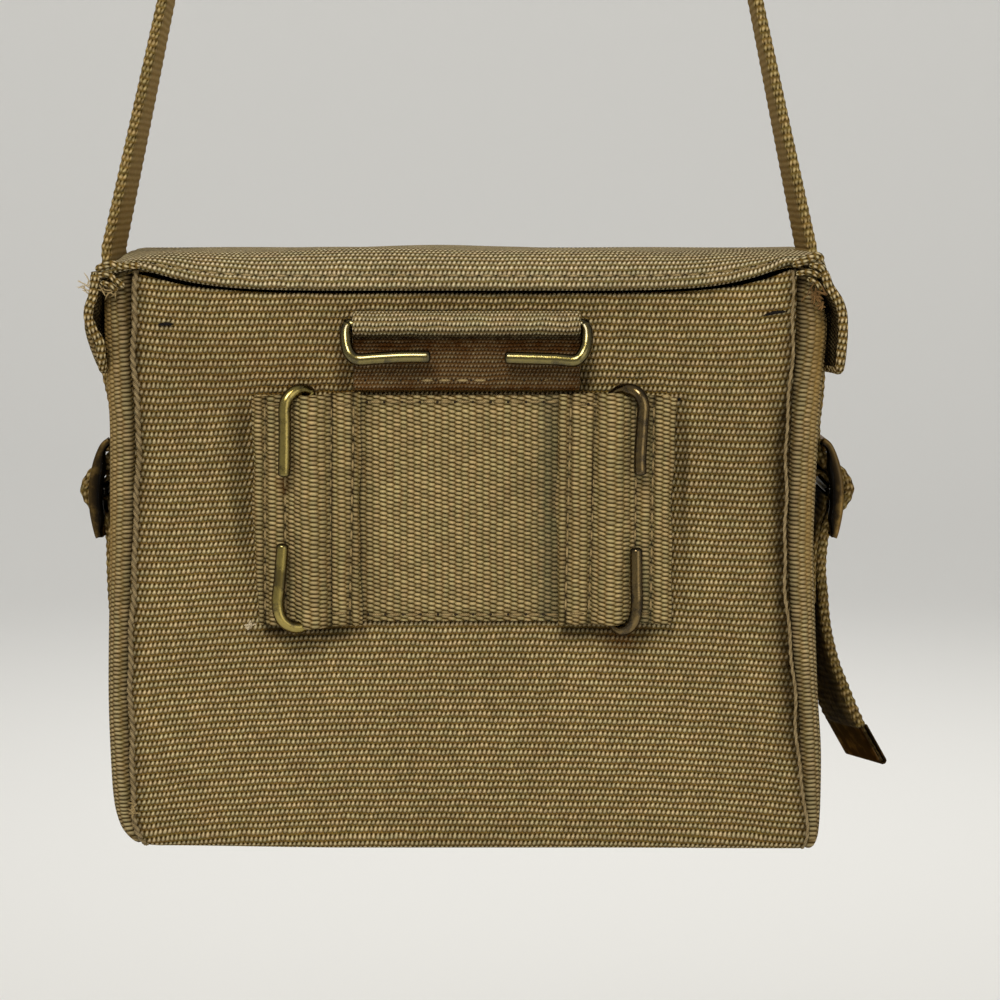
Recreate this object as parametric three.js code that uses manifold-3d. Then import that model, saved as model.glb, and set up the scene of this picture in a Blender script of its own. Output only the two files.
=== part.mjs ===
// Canvas crossbody case with belt hooks, hung by its shoulder strap.
// Millimetres, +Z up. The origin is where the strap hangs: the inside of its top bend.
// The hook side faces -Y. In the case's own group y is 0 at mid depth, and z is 0 just above the base.

import * as THREE from 'three';
import { mergeVertices } from 'three/addons/utils/BufferGeometryUtils.js';
import Module from 'manifold-3d';

const wasm = await Module();
wasm.setup();

const { lerp, smoothstep } = THREE.MathUtils;
const QUARTER_TURN = Math.PI / 2;
const X_AXIS = new THREE.Vector3(1, 0, 0);
const Z_AXIS = new THREE.Vector3(0, 0, 1);
const OUT_OF_HOOK_SIDE = new THREE.Vector3(0, -1, 0);

// Clearance between neighbouring pieces
const GAP = 0.3;

// Steps in each rounded corner of a plan outline
const PLAN_CORNER_STEPS = 4;

// Case body: a canvas wrap (hook side, base, far side) and two side panels
const CASE_HALF_WIDTH = 89.8;
const CASE_HALF_DEPTH = 38;
const CASE_WALL = 2.4;
const CASE_CORNER_RADIUS = 7.5;
const CASE_BASE = -2.7;
const CASE_BASE_RADIUS = 5;
const CASE_BASE_STEPS = 3;
const CASE_WAIST = 1.3;
const CASE_LEVELS = [60, 95, 109, 121, 132];
const CASE_STEPS = { x: 18, y: 8 };
const SEAM_HALF_WIDTH = 82;

// The strap presses the sides in between these heights, over the middle of the depth
const PINCH = { depth: 3.2, lowest: 95, highest: 140, flatHalfWidth: 13.5, fadeHalfWidth: 34 };

// Lid: flat at its far edge; its near edge droops, most of it close to the corners
const LID_TOP = 148.3;
const LID_WALL = 2.4;
const LID_DROOP = 6.7;
const LID_DROOP_POWER = 1.4;
const LID_DROOP_SPREAD = 5;
const LID_HALF_WIDTH = 92.4;
const LID_HALF_DEPTH = 41;
const LID_CORNER_RADIUS = 5;
const LID_EDGE_RADIUS = 3.4;
const LID_LIP = 4.2;
const LID_TOP_INSETS = [36, 22, 11, 6];
const LID_EDGE_TURNS = [0, 0.5, 1];
const LID_STEPS = { x: 18, y: 8 };
const LID_CLEARANCE = 0.95;

// Lid flaps: two side flaps whose ends flare out, and a plain one on the far side
const FLAP_WALL = 2.4;
const FLAP_TOP = LID_TOP - LID_LIP - GAP;
const FLAP_HALF_DEPTH = 39.3;
const FLAP_HALF_WIDTH = 86;
const FLAP_BOTTOM = 117;
const FLAP_CORNER_RADIUS = 7;
const FLAP_FLARE = { reach: 2.2, from: 16, power: 1.3 };
const SIDE_FLAP_STEPS = { along: 14, down: 6 };
const FRONT_FLAP_STEPS = { along: 12, down: 3 };
const STUD = { radius: 6, rim: 0.9, height: 2.6, drop: 14, steps: 4, sides: 16 };

// Belt panel and the two sewn tabs that hold the upright hooks
const BELT_PANEL = { left: -52, right: 51, bottom: 56.8, top: 112.4, wall: 1.8, corner: 1 };
const TAB_WALL = 1.6;
const TAB_BOTTOM = 55.9;
const TAB_TOP = 112.9;
const TUNNEL = { halfWidth: 3, height: 4, foldHalfWidth: 5.5, foldRise: 4, steps: 8 };

// Wire hooks: spines lie in the tunnels, prongs stand clear of the webbing by a belt's thickness
const WIRE_RADIUS = 1.45;
const WIRE_SIDES = 10;
const WIRE_STEPS = 36;
const BELT_ROOM = 2.6;
const UPRIGHT_BEND = 3.6;
const UPRIGHT_HOOKS = [
  { name: 'left', outerEdge: -53, innerEdge: -26.8, spineX: -38.3, prongX: -45 },
  { name: 'right', outerEdge: 51.8, innerEdge: 22.7, spineX: 36.4, prongX: 43.4 },
];
const UPRIGHT_TOP = 114.7;
const UPRIGHT_UPPER_TIP = 93.8;
const UPRIGHT_LOWER_TIP = 76;
const UPRIGHT_BOTTOM = 54.1;

// Upper hook in its rolled tab
const TOP_TAB = { halfWidth: 28, bottom: 114.8, centreX: 0.3, flat: 3, roll: 1.6 };
const TOP_HOOK = { spineZ: 131, prongZ: 122.8, bendX: 30, leftTip: -9, rightTip: 10, bend: 2.6 };

// Shoulder strap: centre line of one side as distance out from the middle plane and height
const STRAP_WIDTH = 25.4;
const STRAP_THICKNESS = 2.6;
const HANG_HEIGHT = 516;
const HANG_RADIUS = 8;
const HANG_STEPS = 10;
const STRAP_SIDE = [
  { out: 91.1, z: 149 },
  { out: 91.1, z: 141 },
  { out: 91.6, z: 131 },
  { out: 92.5, z: 119 },
  { out: 91.3, z: 111 },
  { out: 90.6, z: 104 },
  { out: 90.3, z: 98.5 },
  { out: 91.1, z: 95.1 },
  { out: 94, z: 92.6 },
  { out: 96.8, z: 90.2 },
  { out: 98.4, z: 86.9 },
  { out: 97.6, z: 84.1 },
  { out: 95.4, z: 81 },
  { out: 93.3, z: 77.8 },
  { out: 92.9, z: 74.5 },
];
const STRAP_TAILS = {
  left: [
    { out: 93, z: 66 },
    { out: 93.2, z: 57 },
    { out: 92.3, z: 46 },
    { out: 91.5, z: 34 },
    { out: 91.8, z: 25.5 },
    { out: 92.9, z: 13.6 },
  ],
  right: [
    { out: 93, z: 66 },
    { out: 93.3, z: 56 },
    { out: 94.4, z: 44 },
    { out: 96.9, z: 34 },
    { out: 100.4, z: 24.9 },
    { out: 107.2, z: 15 },
  ],
};
const STRAP_STEPS_PER_ROW = 3;

// The right tail turns as it swings out, so its near edge leads
const TAIL_TURN = { tangent: 0.27, lowest: 26, highest: 58 };
const TIP = { length: 11.5, wall: 0.6, width: 26.6, clearance: 0.25 };

// Three-bar buckles on the sides, arched outwards
const BUCKLE_HALF_WIDTH = 16.3;
const BUCKLE_RAIL_WIDTH = 2.8;
const BUCKLE_PLATE = 2;
const BUCKLE_BAR_HEIGHT = 2.8;
const BUCKLE_RAIL = [
  { out: 93, z: 99.1 },
  { out: 95.2, z: 93 },
  { out: 96, z: 86.7 },
  { out: 96.1, z: 80 },
  { out: 95.6, z: 74.1 },
];
const BUCKLE_RAIL_STEPS = 8;
const BUCKLE_TOP_BAR = { out: 93, z: 97.8 };
const BUCKLE_BOTTOM_BAR = { out: 95.6, z: 75.5 };
const BUCKLE_CENTRE_BAR = { out: 93.8, z: 86.7, radius: 1.2 };
const BUCKLE_LUG_HEIGHT = 2.4;
const ROUND_SEGMENTS = 6;

// Webbing tab that loops round the buckle's centre bar and is sewn to the side below it
const BUCKLE_TAB = { inner: 88.9, outer: 91.3, bottom: 57, neckLow: 80, neckHigh: 84, wall: 1.5 };
const BUCKLE_TAB_NECK = { below: { out: 93.2, z: 83.6 }, behind: { out: 92, z: 87 } };

// Finishes
const CANVAS = { color: 0x7d6a45, roughness: 0.95, metalness: 0 };
const WEBBING = { color: 0x78663f, roughness: 0.95, metalness: 0 };
const STAINED_WEBBING = { color: 0x6b5030, roughness: 0.95, metalness: 0 };
const BRASS = { color: 0x8a7436, roughness: 0.38, metalness: 0.9 };
const DARK_BRASS = { color: 0x4a3a1e, roughness: 0.45, metalness: 0.85 };

const bag = new THREE.Group();
const bagCase = new THREE.Group();
bagCase.position.z = -HANG_HEIGHT;
bag.add(bagCase);

function addPiece(name, geometry, finish) {
  const mesh = new THREE.Mesh(geometry, new THREE.MeshStandardMaterial(finish));
  mesh.name = name;
  bagCase.add(mesh);
  return mesh;
}

// Solids for cutting and joining, and back again

function solidOf(geometry) {
  const bare = geometry.clone();
  bare.deleteAttribute('normal');
  bare.deleteAttribute('uv');
  const merged = mergeVertices(bare);
  const vertProperties = new Float32Array(merged.attributes.position.array);
  const triVerts = new Uint32Array(merged.index.array);
  return new wasm.Manifold(new wasm.Mesh({ numProp: 3, vertProperties, triVerts }));
}

function geometryOf(solid) {
  const mesh = solid.getMesh();
  const geometry = new THREE.BufferGeometry();
  geometry.setAttribute('position', new THREE.BufferAttribute(mesh.vertProperties, 3));
  geometry.setIndex(new THREE.BufferAttribute(mesh.triVerts, 1));
  geometry.computeVertexNormals();
  return geometry;
}

function joined(geometries) {
  return geometryOf(geometries.map(solidOf).reduce((whole, piece) => whole.add(piece)));
}

function indexedGeometry(points, triangles) {
  const geometry = new THREE.BufferGeometry().setFromPoints(points);
  geometry.setIndex(triangles);
  geometry.computeVertexNormals();
  return geometry;
}

// Closed body through rings of equally many points; the first and last ring are closed by a fan
function loft(rings) {
  const count = rings[0].length;
  const points = rings.flat();
  const triangles = [];
  for (let ring = 0; ring + 1 < rings.length; ring += 1) {
    for (let i = 0; i < count; i += 1) {
      const a = ring * count + i;
      const b = ring * count + (i + 1) % count;
      triangles.push(a, b, b + count, a, b + count, a + count);
    }
  }
  const last = (rings.length - 1) * count;
  const firstCentre = points.push(middleOf(rings[0])) - 1;
  const lastCentre = points.push(middleOf(rings.at(-1))) - 1;
  for (let i = 0; i < count; i += 1) {
    const next = (i + 1) % count;
    triangles.push(firstCentre, next, i, lastCentre, last + i, last + next);
  }
  return indexedGeometry(points, triangles);
}

function middleOf(ring) {
  const middle = new THREE.Vector3();
  ring.forEach((point) => middle.add(point));
  return middle.divideScalar(ring.length);
}

// Closed sheet: place(u, v, side) gives both of its faces, side 1 in front of side 0
function sheet(columns, rows, place) {
  const points = [];
  for (const side of [0, 1]) {
    for (let row = 0; row <= rows; row += 1) {
      for (let column = 0; column <= columns; column += 1) {
        points.push(place(column / columns, row / rows, side));
      }
    }
  }
  const faceSize = (columns + 1) * (rows + 1);
  const at = (column, row, side) => side * faceSize + row * (columns + 1) + column;
  const triangles = [];
  const quad = (a, b, c, d) => triangles.push(a, b, c, a, c, d);
  for (let row = 0; row < rows; row += 1) {
    for (let column = 0; column < columns; column += 1) {
      const [c, r] = [column + 1, row + 1];
      quad(at(column, row, 1), at(column, r, 1), at(c, r, 1), at(c, row, 1));
      quad(at(column, row, 0), at(c, row, 0), at(c, r, 0), at(column, r, 0));
    }
    quad(at(0, row, 0), at(0, row + 1, 0), at(0, row + 1, 1), at(0, row, 1));
    quad(at(columns, row, 1), at(columns, row + 1, 1), at(columns, row + 1, 0), at(columns, row, 0));
  }
  for (let column = 0; column < columns; column += 1) {
    quad(at(column, 0, 1), at(column + 1, 0, 1), at(column + 1, 0, 0), at(column, 0, 0));
    quad(at(column, rows, 0), at(column + 1, rows, 0), at(column + 1, rows, 1), at(column, rows, 1));
  }
  return indexedGeometry(points, triangles);
}

// Profile drawn on two axes and carried along the third, centred on it
function carried(shape, across, up, length) {
  const geometry = new THREE.ExtrudeGeometry(shape, {
    depth: length,
    bevelEnabled: false,
    curveSegments: ROUND_SEGMENTS,
  });
  geometry.translate(0, 0, -length / 2);
  const along = new THREE.Vector3().crossVectors(across, up);
  geometry.applyMatrix4(new THREE.Matrix4().makeBasis(across, up, along));
  return geometry;
}

function rectangle(left, right, bottom, top) {
  const shape = new THREE.Shape();
  shape.moveTo(left, bottom);
  shape.lineTo(right, bottom);
  shape.lineTo(right, top);
  shape.lineTo(left, top);
  shape.closePath();
  return shape;
}

function disc(x, y, radius) {
  const shape = new THREE.Shape();
  shape.absarc(x, y, radius, 0, 2 * Math.PI);
  return shape;
}

function sidePoint(row) {
  return new THREE.Vector2(row.out, row.z);
}

// Unit normals of a flat path, to the left of its direction
function pathNormals(path) {
  return path.map((_, i) => {
    const before = path[Math.max(i - 1, 0)];
    const after = path[Math.min(i + 1, path.length - 1)];
    const along = after.clone().sub(before).normalize();
    return new THREE.Vector2(-along.y, along.x);
  });
}

// Outline of a band of even thickness along a flat path
function bandShape(path, thickness) {
  const normals = pathNormals(path);
  const edge = (side) => path.map((p, i) => p.clone().addScaledVector(normals[i], side * thickness / 2));
  return new THREE.Shape([...edge(-1), ...edge(1).reverse()]);
}

// Rounded rectangle in plan, anticlockwise, as plain points
function roundedPlan(halfX, halfY, radius, stepsX, stepsY) {
  const corners = [
    { x: 1, y: 1, steps: stepsX },
    { x: -1, y: 1, steps: stepsY },
    { x: -1, y: -1, steps: stepsX },
    { x: 1, y: -1, steps: stepsY },
  ];
  const arcs = corners.map((corner, k) => Array.from({ length: PLAN_CORNER_STEPS + 1 }, (_, i) => {
    const angle = (k + i / PLAN_CORNER_STEPS) * QUARTER_TURN;
    const x = corner.x * (halfX - radius) + radius * Math.cos(angle);
    const y = corner.y * (halfY - radius) + radius * Math.sin(angle);
    return new THREE.Vector2(x, y);
  }));
  return arcs.flatMap((arc, k) => {
    const next = arcs[(k + 1) % arcs.length][0];
    const steps = corners[k].steps;
    const run = Array.from({ length: steps - 1 }, (_, i) => arc.at(-1).clone().lerp(next, (i + 1) / steps));
    return [...arc, ...run];
  });
}

// Shape of the soft case: where its sides are pressed in and how its lid hangs

function pinchAt(y, z) {
  const across = 1 - smoothstep(Math.abs(y), PINCH.flatHalfWidth, PINCH.fadeHalfWidth);
  return PINCH.depth * across * smoothstep(z, PINCH.lowest, PINCH.highest);
}

function pressedX(x, y, z) {
  return x * (1 - pinchAt(y, z) / CASE_HALF_WIDTH);
}

function lidTopAt(x, y) {
  const across = Math.max(0, 1 - Math.abs(x / SEAM_HALF_WIDTH) ** LID_DROOP_SPREAD);
  const nearness = Math.max(0, (CASE_HALF_DEPTH - y) / (2 * CASE_HALF_DEPTH));
  return LID_TOP - LID_DROOP * across * nearness ** LID_DROOP_POWER;
}

// Case body

function caseRing(inset, wall, heightAt) {
  const halfX = CASE_HALF_WIDTH - wall - inset;
  const halfY = CASE_HALF_DEPTH - wall - inset;
  const radius = CASE_CORNER_RADIUS - wall - inset;
  return roundedPlan(halfX, halfY, radius, CASE_STEPS.x, CASE_STEPS.y).map((p) => {
    const z = heightAt(p.x, p.y);
    const waist = CASE_WAIST * Math.sin(Math.PI * (z - CASE_BASE) / (LID_TOP - CASE_BASE));
    const x = pressedX(p.x, p.y, z) * (1 - waist / CASE_HALF_WIDTH);
    return new THREE.Vector3(x, p.y, z);
  });
}

function caseSkin(wall) {
  const radius = CASE_BASE_RADIUS - wall;
  const rings = [];
  for (let i = 0; i <= CASE_BASE_STEPS; i += 1) {
    const angle = i / CASE_BASE_STEPS * QUARTER_TURN;
    const z = CASE_BASE + wall + radius * (1 - Math.cos(angle));
    rings.push(caseRing(radius * (1 - Math.sin(angle)), wall, () => z));
  }
  CASE_LEVELS.forEach((level) => rings.push(caseRing(0, wall, () => level)));
  rings.push(caseRing(0, wall, (x, y) => lidTopAt(x, y) - LID_WALL - LID_CLEARANCE));
  return rings;
}

function addCaseBody() {
  const shell = solidOf(loft([...caseSkin(0), ...caseSkin(CASE_WALL).reverse()]));
  const span = 2 * LID_TOP;
  const between = (left, right) => {
    const block = new THREE.BoxGeometry(right - left, span, 2 * span);
    block.translate((left + right) / 2, 0, 0);
    return geometryOf(shell.intersect(solidOf(block)));
  };
  const wrapEdge = SEAM_HALF_WIDTH - GAP / 2;
  const panelEdge = SEAM_HALF_WIDTH + GAP / 2;
  addPiece('body_wrap', between(-wrapEdge, wrapEdge), CANVAS);
  addPiece('side_panel_left', between(-span, -panelEdge), CANVAS);
  addPiece('side_panel_right', between(panelEdge, span), CANVAS);
}

// Lid

function lidRing(inset, drop) {
  const radius = Math.max(LID_CORNER_RADIUS - inset, GAP);
  const halfX = LID_HALF_WIDTH - inset;
  const halfY = LID_HALF_DEPTH - inset;
  return roundedPlan(halfX, halfY, radius, LID_STEPS.x, LID_STEPS.y).map((p) => {
    const z = lidTopAt(p.x, p.y) - drop;
    return new THREE.Vector3(pressedX(p.x, p.y, z), p.y, z);
  });
}

function lidSkin(wall) {
  const radius = LID_EDGE_RADIUS - wall;
  const rings = LID_TOP_INSETS.map((inset) => lidRing(inset, wall));
  for (const turn of LID_EDGE_TURNS) {
    const angle = turn * QUARTER_TURN;
    rings.push(lidRing(wall + radius * (1 - Math.sin(angle)), wall + radius * (1 - Math.cos(angle))));
  }
  rings.push(lidRing(wall, LID_LIP));
  return rings;
}

function addLid() {
  addPiece('lid_top', loft([...lidSkin(LID_WALL), ...lidSkin(0).reverse()]), CANVAS);
}

// Lid flaps

function flapReach(along, halfLength) {
  const beyond = Math.max(0, Math.abs(along) - (halfLength - FLAP_CORNER_RADIUS)) / FLAP_CORNER_RADIUS;
  const rounding = FLAP_CORNER_RADIUS * (1 - Math.sqrt(Math.max(0, 1 - beyond ** 2)));
  return FLAP_TOP - FLAP_BOTTOM - rounding;
}

// Runs from one end to the other, with its steps drawn together at the ends
function alongFlap(u, halfLength) {
  return -halfLength * Math.cos(Math.PI * u);
}

function sideFlapPoint(u, v, side) {
  const y = alongFlap(u, FLAP_HALF_DEPTH);
  const z = FLAP_TOP - v * flapReach(y, FLAP_HALF_DEPTH);
  const ends = smoothstep(Math.abs(y), FLAP_FLARE.from, FLAP_HALF_DEPTH);
  const flare = FLAP_FLARE.reach * ends * Math.sin(Math.PI * v ** FLAP_FLARE.power);
  const face = LID_HALF_WIDTH - FLAP_WALL * (1 - side) - pinchAt(y, z) + flare;
  return new THREE.Vector3(face, y, z);
}

function frontFlapPoint(u, v, side) {
  const x = -alongFlap(u, FLAP_HALF_WIDTH);
  const y = CASE_HALF_DEPTH + GAP + FLAP_WALL * side;
  return new THREE.Vector3(x, y, FLAP_TOP - v * flapReach(x, FLAP_HALF_WIDTH));
}

function addFlaps() {
  const sideFlap = sheet(SIDE_FLAP_STEPS.along, SIDE_FLAP_STEPS.down, sideFlapPoint);
  addPiece('lid_flap_right', sideFlap, CANVAS);
  addPiece('lid_flap_left', sideFlap.clone(), CANVAS).rotation.z = Math.PI;
  const frontFlap = sheet(FRONT_FLAP_STEPS.along, FRONT_FLAP_STEPS.down, frontFlapPoint);
  addPiece('lid_flap_front', frontFlap, CANVAS);

  const dome = Array.from({ length: STUD.steps + 1 }, (_, i) => {
    const angle = i / STUD.steps * QUARTER_TURN;
    const rise = STUD.rim + (STUD.height - STUD.rim) * Math.sin(angle);
    return new THREE.Vector2(STUD.radius * Math.cos(angle), rise);
  });
  dome[STUD.steps].x = 0;
  const profile = [new THREE.Vector2(0, 0), new THREE.Vector2(STUD.radius, 0), ...dome];
  const stud = addPiece('front_stud', new THREE.LatheGeometry(profile, STUD.sides), BRASS);
  stud.position.set(0, CASE_HALF_DEPTH + FLAP_WALL + 2 * GAP, FLAP_BOTTOM + STUD.drop);
}

// Belt panel, hook tabs and wire hooks

const PANEL_FACE = CASE_HALF_DEPTH + GAP + BELT_PANEL.wall;
const UPRIGHT_SPINE_Y = -(PANEL_FACE + GAP + WIRE_RADIUS);
const UPRIGHT_PRONG_Y = -(PANEL_FACE + GAP + TAB_WALL + BELT_ROOM + WIRE_RADIUS);
const TOP_ROLL_RADIUS = WIRE_RADIUS + GAP + TOP_TAB.roll;
const TOP_SPINE_Y = -(CASE_HALF_DEPTH + GAP + TOP_ROLL_RADIUS);
const TOP_PRONG_Y = -(CASE_HALF_DEPTH + GAP + TOP_TAB.flat + BELT_ROOM + WIRE_RADIUS);

function addBeltPanel() {
  const { left, right, bottom, top, wall, corner } = BELT_PANEL;
  const plan = roundedPlan((right - left) / 2, (top - bottom) / 2, corner, 1, 1);
  const panel = addPiece('belt_panel', carried(new THREE.Shape(plan), X_AXIS, Z_AXIS, wall), WEBBING);
  panel.position.set((left + right) / 2, -(CASE_HALF_DEPTH + GAP + wall / 2), (top + bottom) / 2);
}

// Section of a hook tab: a flat strip that rises in a fold over the wire's tunnel
function hookTabShape(hook) {
  const [low, high] = [hook.outerEdge, hook.innerEdge].sort((a, b) => a - b);
  const shape = new THREE.Shape();
  shape.moveTo(low, 0);
  shape.lineTo(hook.spineX - TUNNEL.halfWidth, 0);
  shape.absellipse(hook.spineX, 0, TUNNEL.halfWidth, TUNNEL.height, Math.PI, 0, true);
  shape.lineTo(high, 0);
  shape.lineTo(high, TAB_WALL);
  for (let i = TUNNEL.steps; i >= -TUNNEL.steps; i -= 1) {
    const offset = i / TUNNEL.steps;
    const rise = TUNNEL.foldRise * Math.cos(offset * QUARTER_TURN) ** 2;
    shape.lineTo(hook.spineX + offset * TUNNEL.foldHalfWidth, TAB_WALL + rise);
  }
  shape.lineTo(low, TAB_WALL);
  shape.closePath();
  return shape;
}

// Round wire through corner points, with each corner rounded by the bend length
function wire(corners, bend) {
  const path = new THREE.CurvePath();
  let start = corners[0];
  for (let i = 1; i + 1 < corners.length; i += 1) {
    const corner = corners[i];
    const back = corners[i - 1].clone().sub(corner).setLength(bend).add(corner);
    const ahead = corners[i + 1].clone().sub(corner).setLength(bend).add(corner);
    path.add(new THREE.LineCurve3(start, back));
    path.add(new THREE.QuadraticBezierCurve3(back, corner, ahead));
    start = ahead;
  }
  path.add(new THREE.LineCurve3(start, corners.at(-1)));
  const section = disc(0, 0, WIRE_RADIUS);
  return new THREE.ExtrudeGeometry(section, {
    steps: WIRE_STEPS,
    extrudePath: path,
    curveSegments: WIRE_SIDES / 2,
  });
}

function addUprightHooks() {
  for (const hook of UPRIGHT_HOOKS) {
    const tab = carried(hookTabShape(hook), X_AXIS, OUT_OF_HOOK_SIDE, TAB_TOP - TAB_BOTTOM);
    const tabMesh = addPiece(`hook_tab_${hook.name}`, tab, WEBBING);
    tabMesh.position.set(0, -(PANEL_FACE + GAP), (TAB_TOP + TAB_BOTTOM) / 2);

    const corners = [
      new THREE.Vector3(hook.prongX, UPRIGHT_PRONG_Y, UPRIGHT_UPPER_TIP),
      new THREE.Vector3(hook.prongX, UPRIGHT_PRONG_Y, UPRIGHT_TOP),
      new THREE.Vector3(hook.spineX, UPRIGHT_SPINE_Y, UPRIGHT_TOP),
      new THREE.Vector3(hook.spineX, UPRIGHT_SPINE_Y, UPRIGHT_BOTTOM),
      new THREE.Vector3(hook.prongX, UPRIGHT_PRONG_Y, UPRIGHT_BOTTOM),
      new THREE.Vector3(hook.prongX, UPRIGHT_PRONG_Y, UPRIGHT_LOWER_TIP),
    ];
    addPiece(`belt_hook_${hook.name}`, wire(corners, UPRIGHT_BEND), BRASS);
  }
}

function addTopHook() {
  const rollOut = -TOP_SPINE_Y - CASE_HALF_DEPTH - GAP;
  const roll = disc(rollOut, TOP_HOOK.spineZ, TOP_ROLL_RADIUS);
  const flat = rectangle(0, TOP_TAB.flat, TOP_TAB.bottom, TOP_HOOK.spineZ);
  const bore = disc(rollOut, TOP_HOOK.spineZ, WIRE_RADIUS + GAP);
  const width = 2 * TOP_TAB.halfWidth;
  const layers = [roll, flat].map((shape) => solidOf(carried(shape, OUT_OF_HOOK_SIDE, Z_AXIS, width)));
  const tunnel = solidOf(carried(bore, OUT_OF_HOOK_SIDE, Z_AXIS, width + GAP));
  const tab = geometryOf(layers[0].add(layers[1]).subtract(tunnel));
  addPiece('top_hook_tab', tab, STAINED_WEBBING).position.set(TOP_TAB.centreX, -(CASE_HALF_DEPTH + GAP), 0);

  const [left, right] = [TOP_TAB.centreX - TOP_HOOK.bendX, TOP_TAB.centreX + TOP_HOOK.bendX];
  const corners = [
    new THREE.Vector3(TOP_HOOK.leftTip, TOP_PRONG_Y, TOP_HOOK.prongZ),
    new THREE.Vector3(left, TOP_PRONG_Y, TOP_HOOK.prongZ),
    new THREE.Vector3(left, TOP_SPINE_Y, TOP_HOOK.spineZ),
    new THREE.Vector3(right, TOP_SPINE_Y, TOP_HOOK.spineZ),
    new THREE.Vector3(right, TOP_PRONG_Y, TOP_HOOK.prongZ),
    new THREE.Vector3(TOP_HOOK.rightTip, TOP_PRONG_Y, TOP_HOOK.prongZ),
  ];
  addPiece('top_hook', wire(corners, TOP_HOOK.bend), BRASS);
}

// Shoulder strap, from the top of one leg down to the end of its tail

function strapSide(tail) {
  const rows = [...STRAP_SIDE, ...tail].map(sidePoint);
  const end = rows.pop();
  const curve = new THREE.SplineCurve(rows);
  return [...curve.getPoints(rows.length * STRAP_STEPS_PER_ROW), end];
}

// Bend over the hanging point, between the two places where the legs leave it
function strapBend() {
  const centre = new THREE.Vector2(0, HANG_HEIGHT - HANG_RADIUS);
  const radius = HANG_RADIUS + STRAP_THICKNESS / 2;
  const leg = sidePoint(STRAP_SIDE[0]).sub(centre);
  const leave = leg.angle() - 2 * Math.PI + Math.acos(radius / leg.length());
  return Array.from({ length: HANG_STEPS + 1 }, (_, i) => {
    const angle = lerp(Math.PI - leave, leave, i / HANG_STEPS);
    return new THREE.Vector2(radius * Math.cos(angle), radius * Math.sin(angle)).add(centre);
  });
}

// Direction in which a tail ends, and the outward normal there
function tailEnd(tail) {
  const [before, end] = tail.slice(-2).map(sidePoint);
  const along = end.clone().sub(before).normalize();
  return { end, along, outward: new THREE.Vector2(-along.y, along.x) };
}

// Turns the right tail so that its near edge stands further out
function turnTail(geometry) {
  const { outward } = tailEnd(STRAP_TAILS.right);
  const position = geometry.attributes.position;
  for (let i = 0; i < position.count; i += 1) {
    const [x, y, z] = [position.getX(i), position.getY(i), position.getZ(i)];
    const turned = x > 0 ? 1 - smoothstep(z, TAIL_TURN.lowest, TAIL_TURN.highest) : 0;
    const shift = -y * TAIL_TURN.tangent * turned;
    position.setXYZ(i, x + outward.x * shift, y, z + outward.y * shift);
  }
  geometry.computeVertexNormals();
  return geometry;
}

function addStrap() {
  const left = strapSide(STRAP_TAILS.left).map((p) => new THREE.Vector2(-p.x, p.y)).reverse();
  const path = [...left, ...strapBend(), ...strapSide(STRAP_TAILS.right)];
  const strap = carried(bandShape(path, STRAP_THICKNESS), X_AXIS, Z_AXIS, STRAP_WIDTH);
  addPiece('shoulder_strap', turnTail(strap), WEBBING);
}

// Folded plate over the end of a tail, open where the strap goes in
function tipShape(tail) {
  const { end, along, outward } = tailEnd(tail);
  const inner = STRAP_THICKNESS / 2 + TIP.clearance;
  const outer = inner + TIP.wall;
  const floor = TIP.clearance;
  const bottom = floor + TIP.wall;
  const mouth = bottom - TIP.length;
  const at = (down, out) => end.clone().addScaledVector(along, down).addScaledVector(outward, out);
  return new THREE.Shape([
    at(mouth, outer),
    at(mouth, inner),
    at(floor, inner),
    at(floor, -inner),
    at(mouth, -inner),
    at(mouth, -outer),
    at(bottom, -outer),
    at(bottom, outer),
  ]);
}

function addTips() {
  const right = carried(tipShape(STRAP_TAILS.right), X_AXIS, Z_AXIS, TIP.width);
  addPiece('strap_tip_right', turnTail(right), DARK_BRASS);
  const left = carried(tipShape(STRAP_TAILS.left), X_AXIS, Z_AXIS, TIP.width);
  addPiece('strap_tip_left', left, DARK_BRASS).rotation.z = Math.PI;
}

// Buckles and the tabs that hold them

function buckle() {
  const railPath = new THREE.SplineCurve(BUCKLE_RAIL.map(sidePoint)).getPoints(BUCKLE_RAIL_STEPS);
  const centre = BUCKLE_CENTRE_BAR;
  const lug = rectangle(centre.out, centre.out + BUCKLE_PLATE, centre.z - BUCKLE_LUG_HEIGHT / 2,
    centre.z + BUCKLE_LUG_HEIGHT / 2);
  const ends = [-1, 1].flatMap((end) => [bandShape(railPath, BUCKLE_PLATE), lug].map((shape) => {
    const rail = carried(shape, X_AXIS, Z_AXIS, BUCKLE_RAIL_WIDTH);
    return rail.translate(0, end * (BUCKLE_HALF_WIDTH - BUCKLE_RAIL_WIDTH / 2), 0);
  }));
  const flatBars = [BUCKLE_TOP_BAR, BUCKLE_BOTTOM_BAR].map((bar) => rectangle(bar.out - BUCKLE_PLATE / 2,
    bar.out + BUCKLE_PLATE / 2, bar.z - BUCKLE_BAR_HEIGHT / 2, bar.z + BUCKLE_BAR_HEIGHT / 2));
  const bars = [...flatBars, disc(centre.out, centre.z, centre.radius)]
    .map((shape) => carried(shape, X_AXIS, Z_AXIS, 2 * BUCKLE_HALF_WIDTH - BUCKLE_RAIL_WIDTH));
  return joined([...ends, ...bars]);
}

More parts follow.
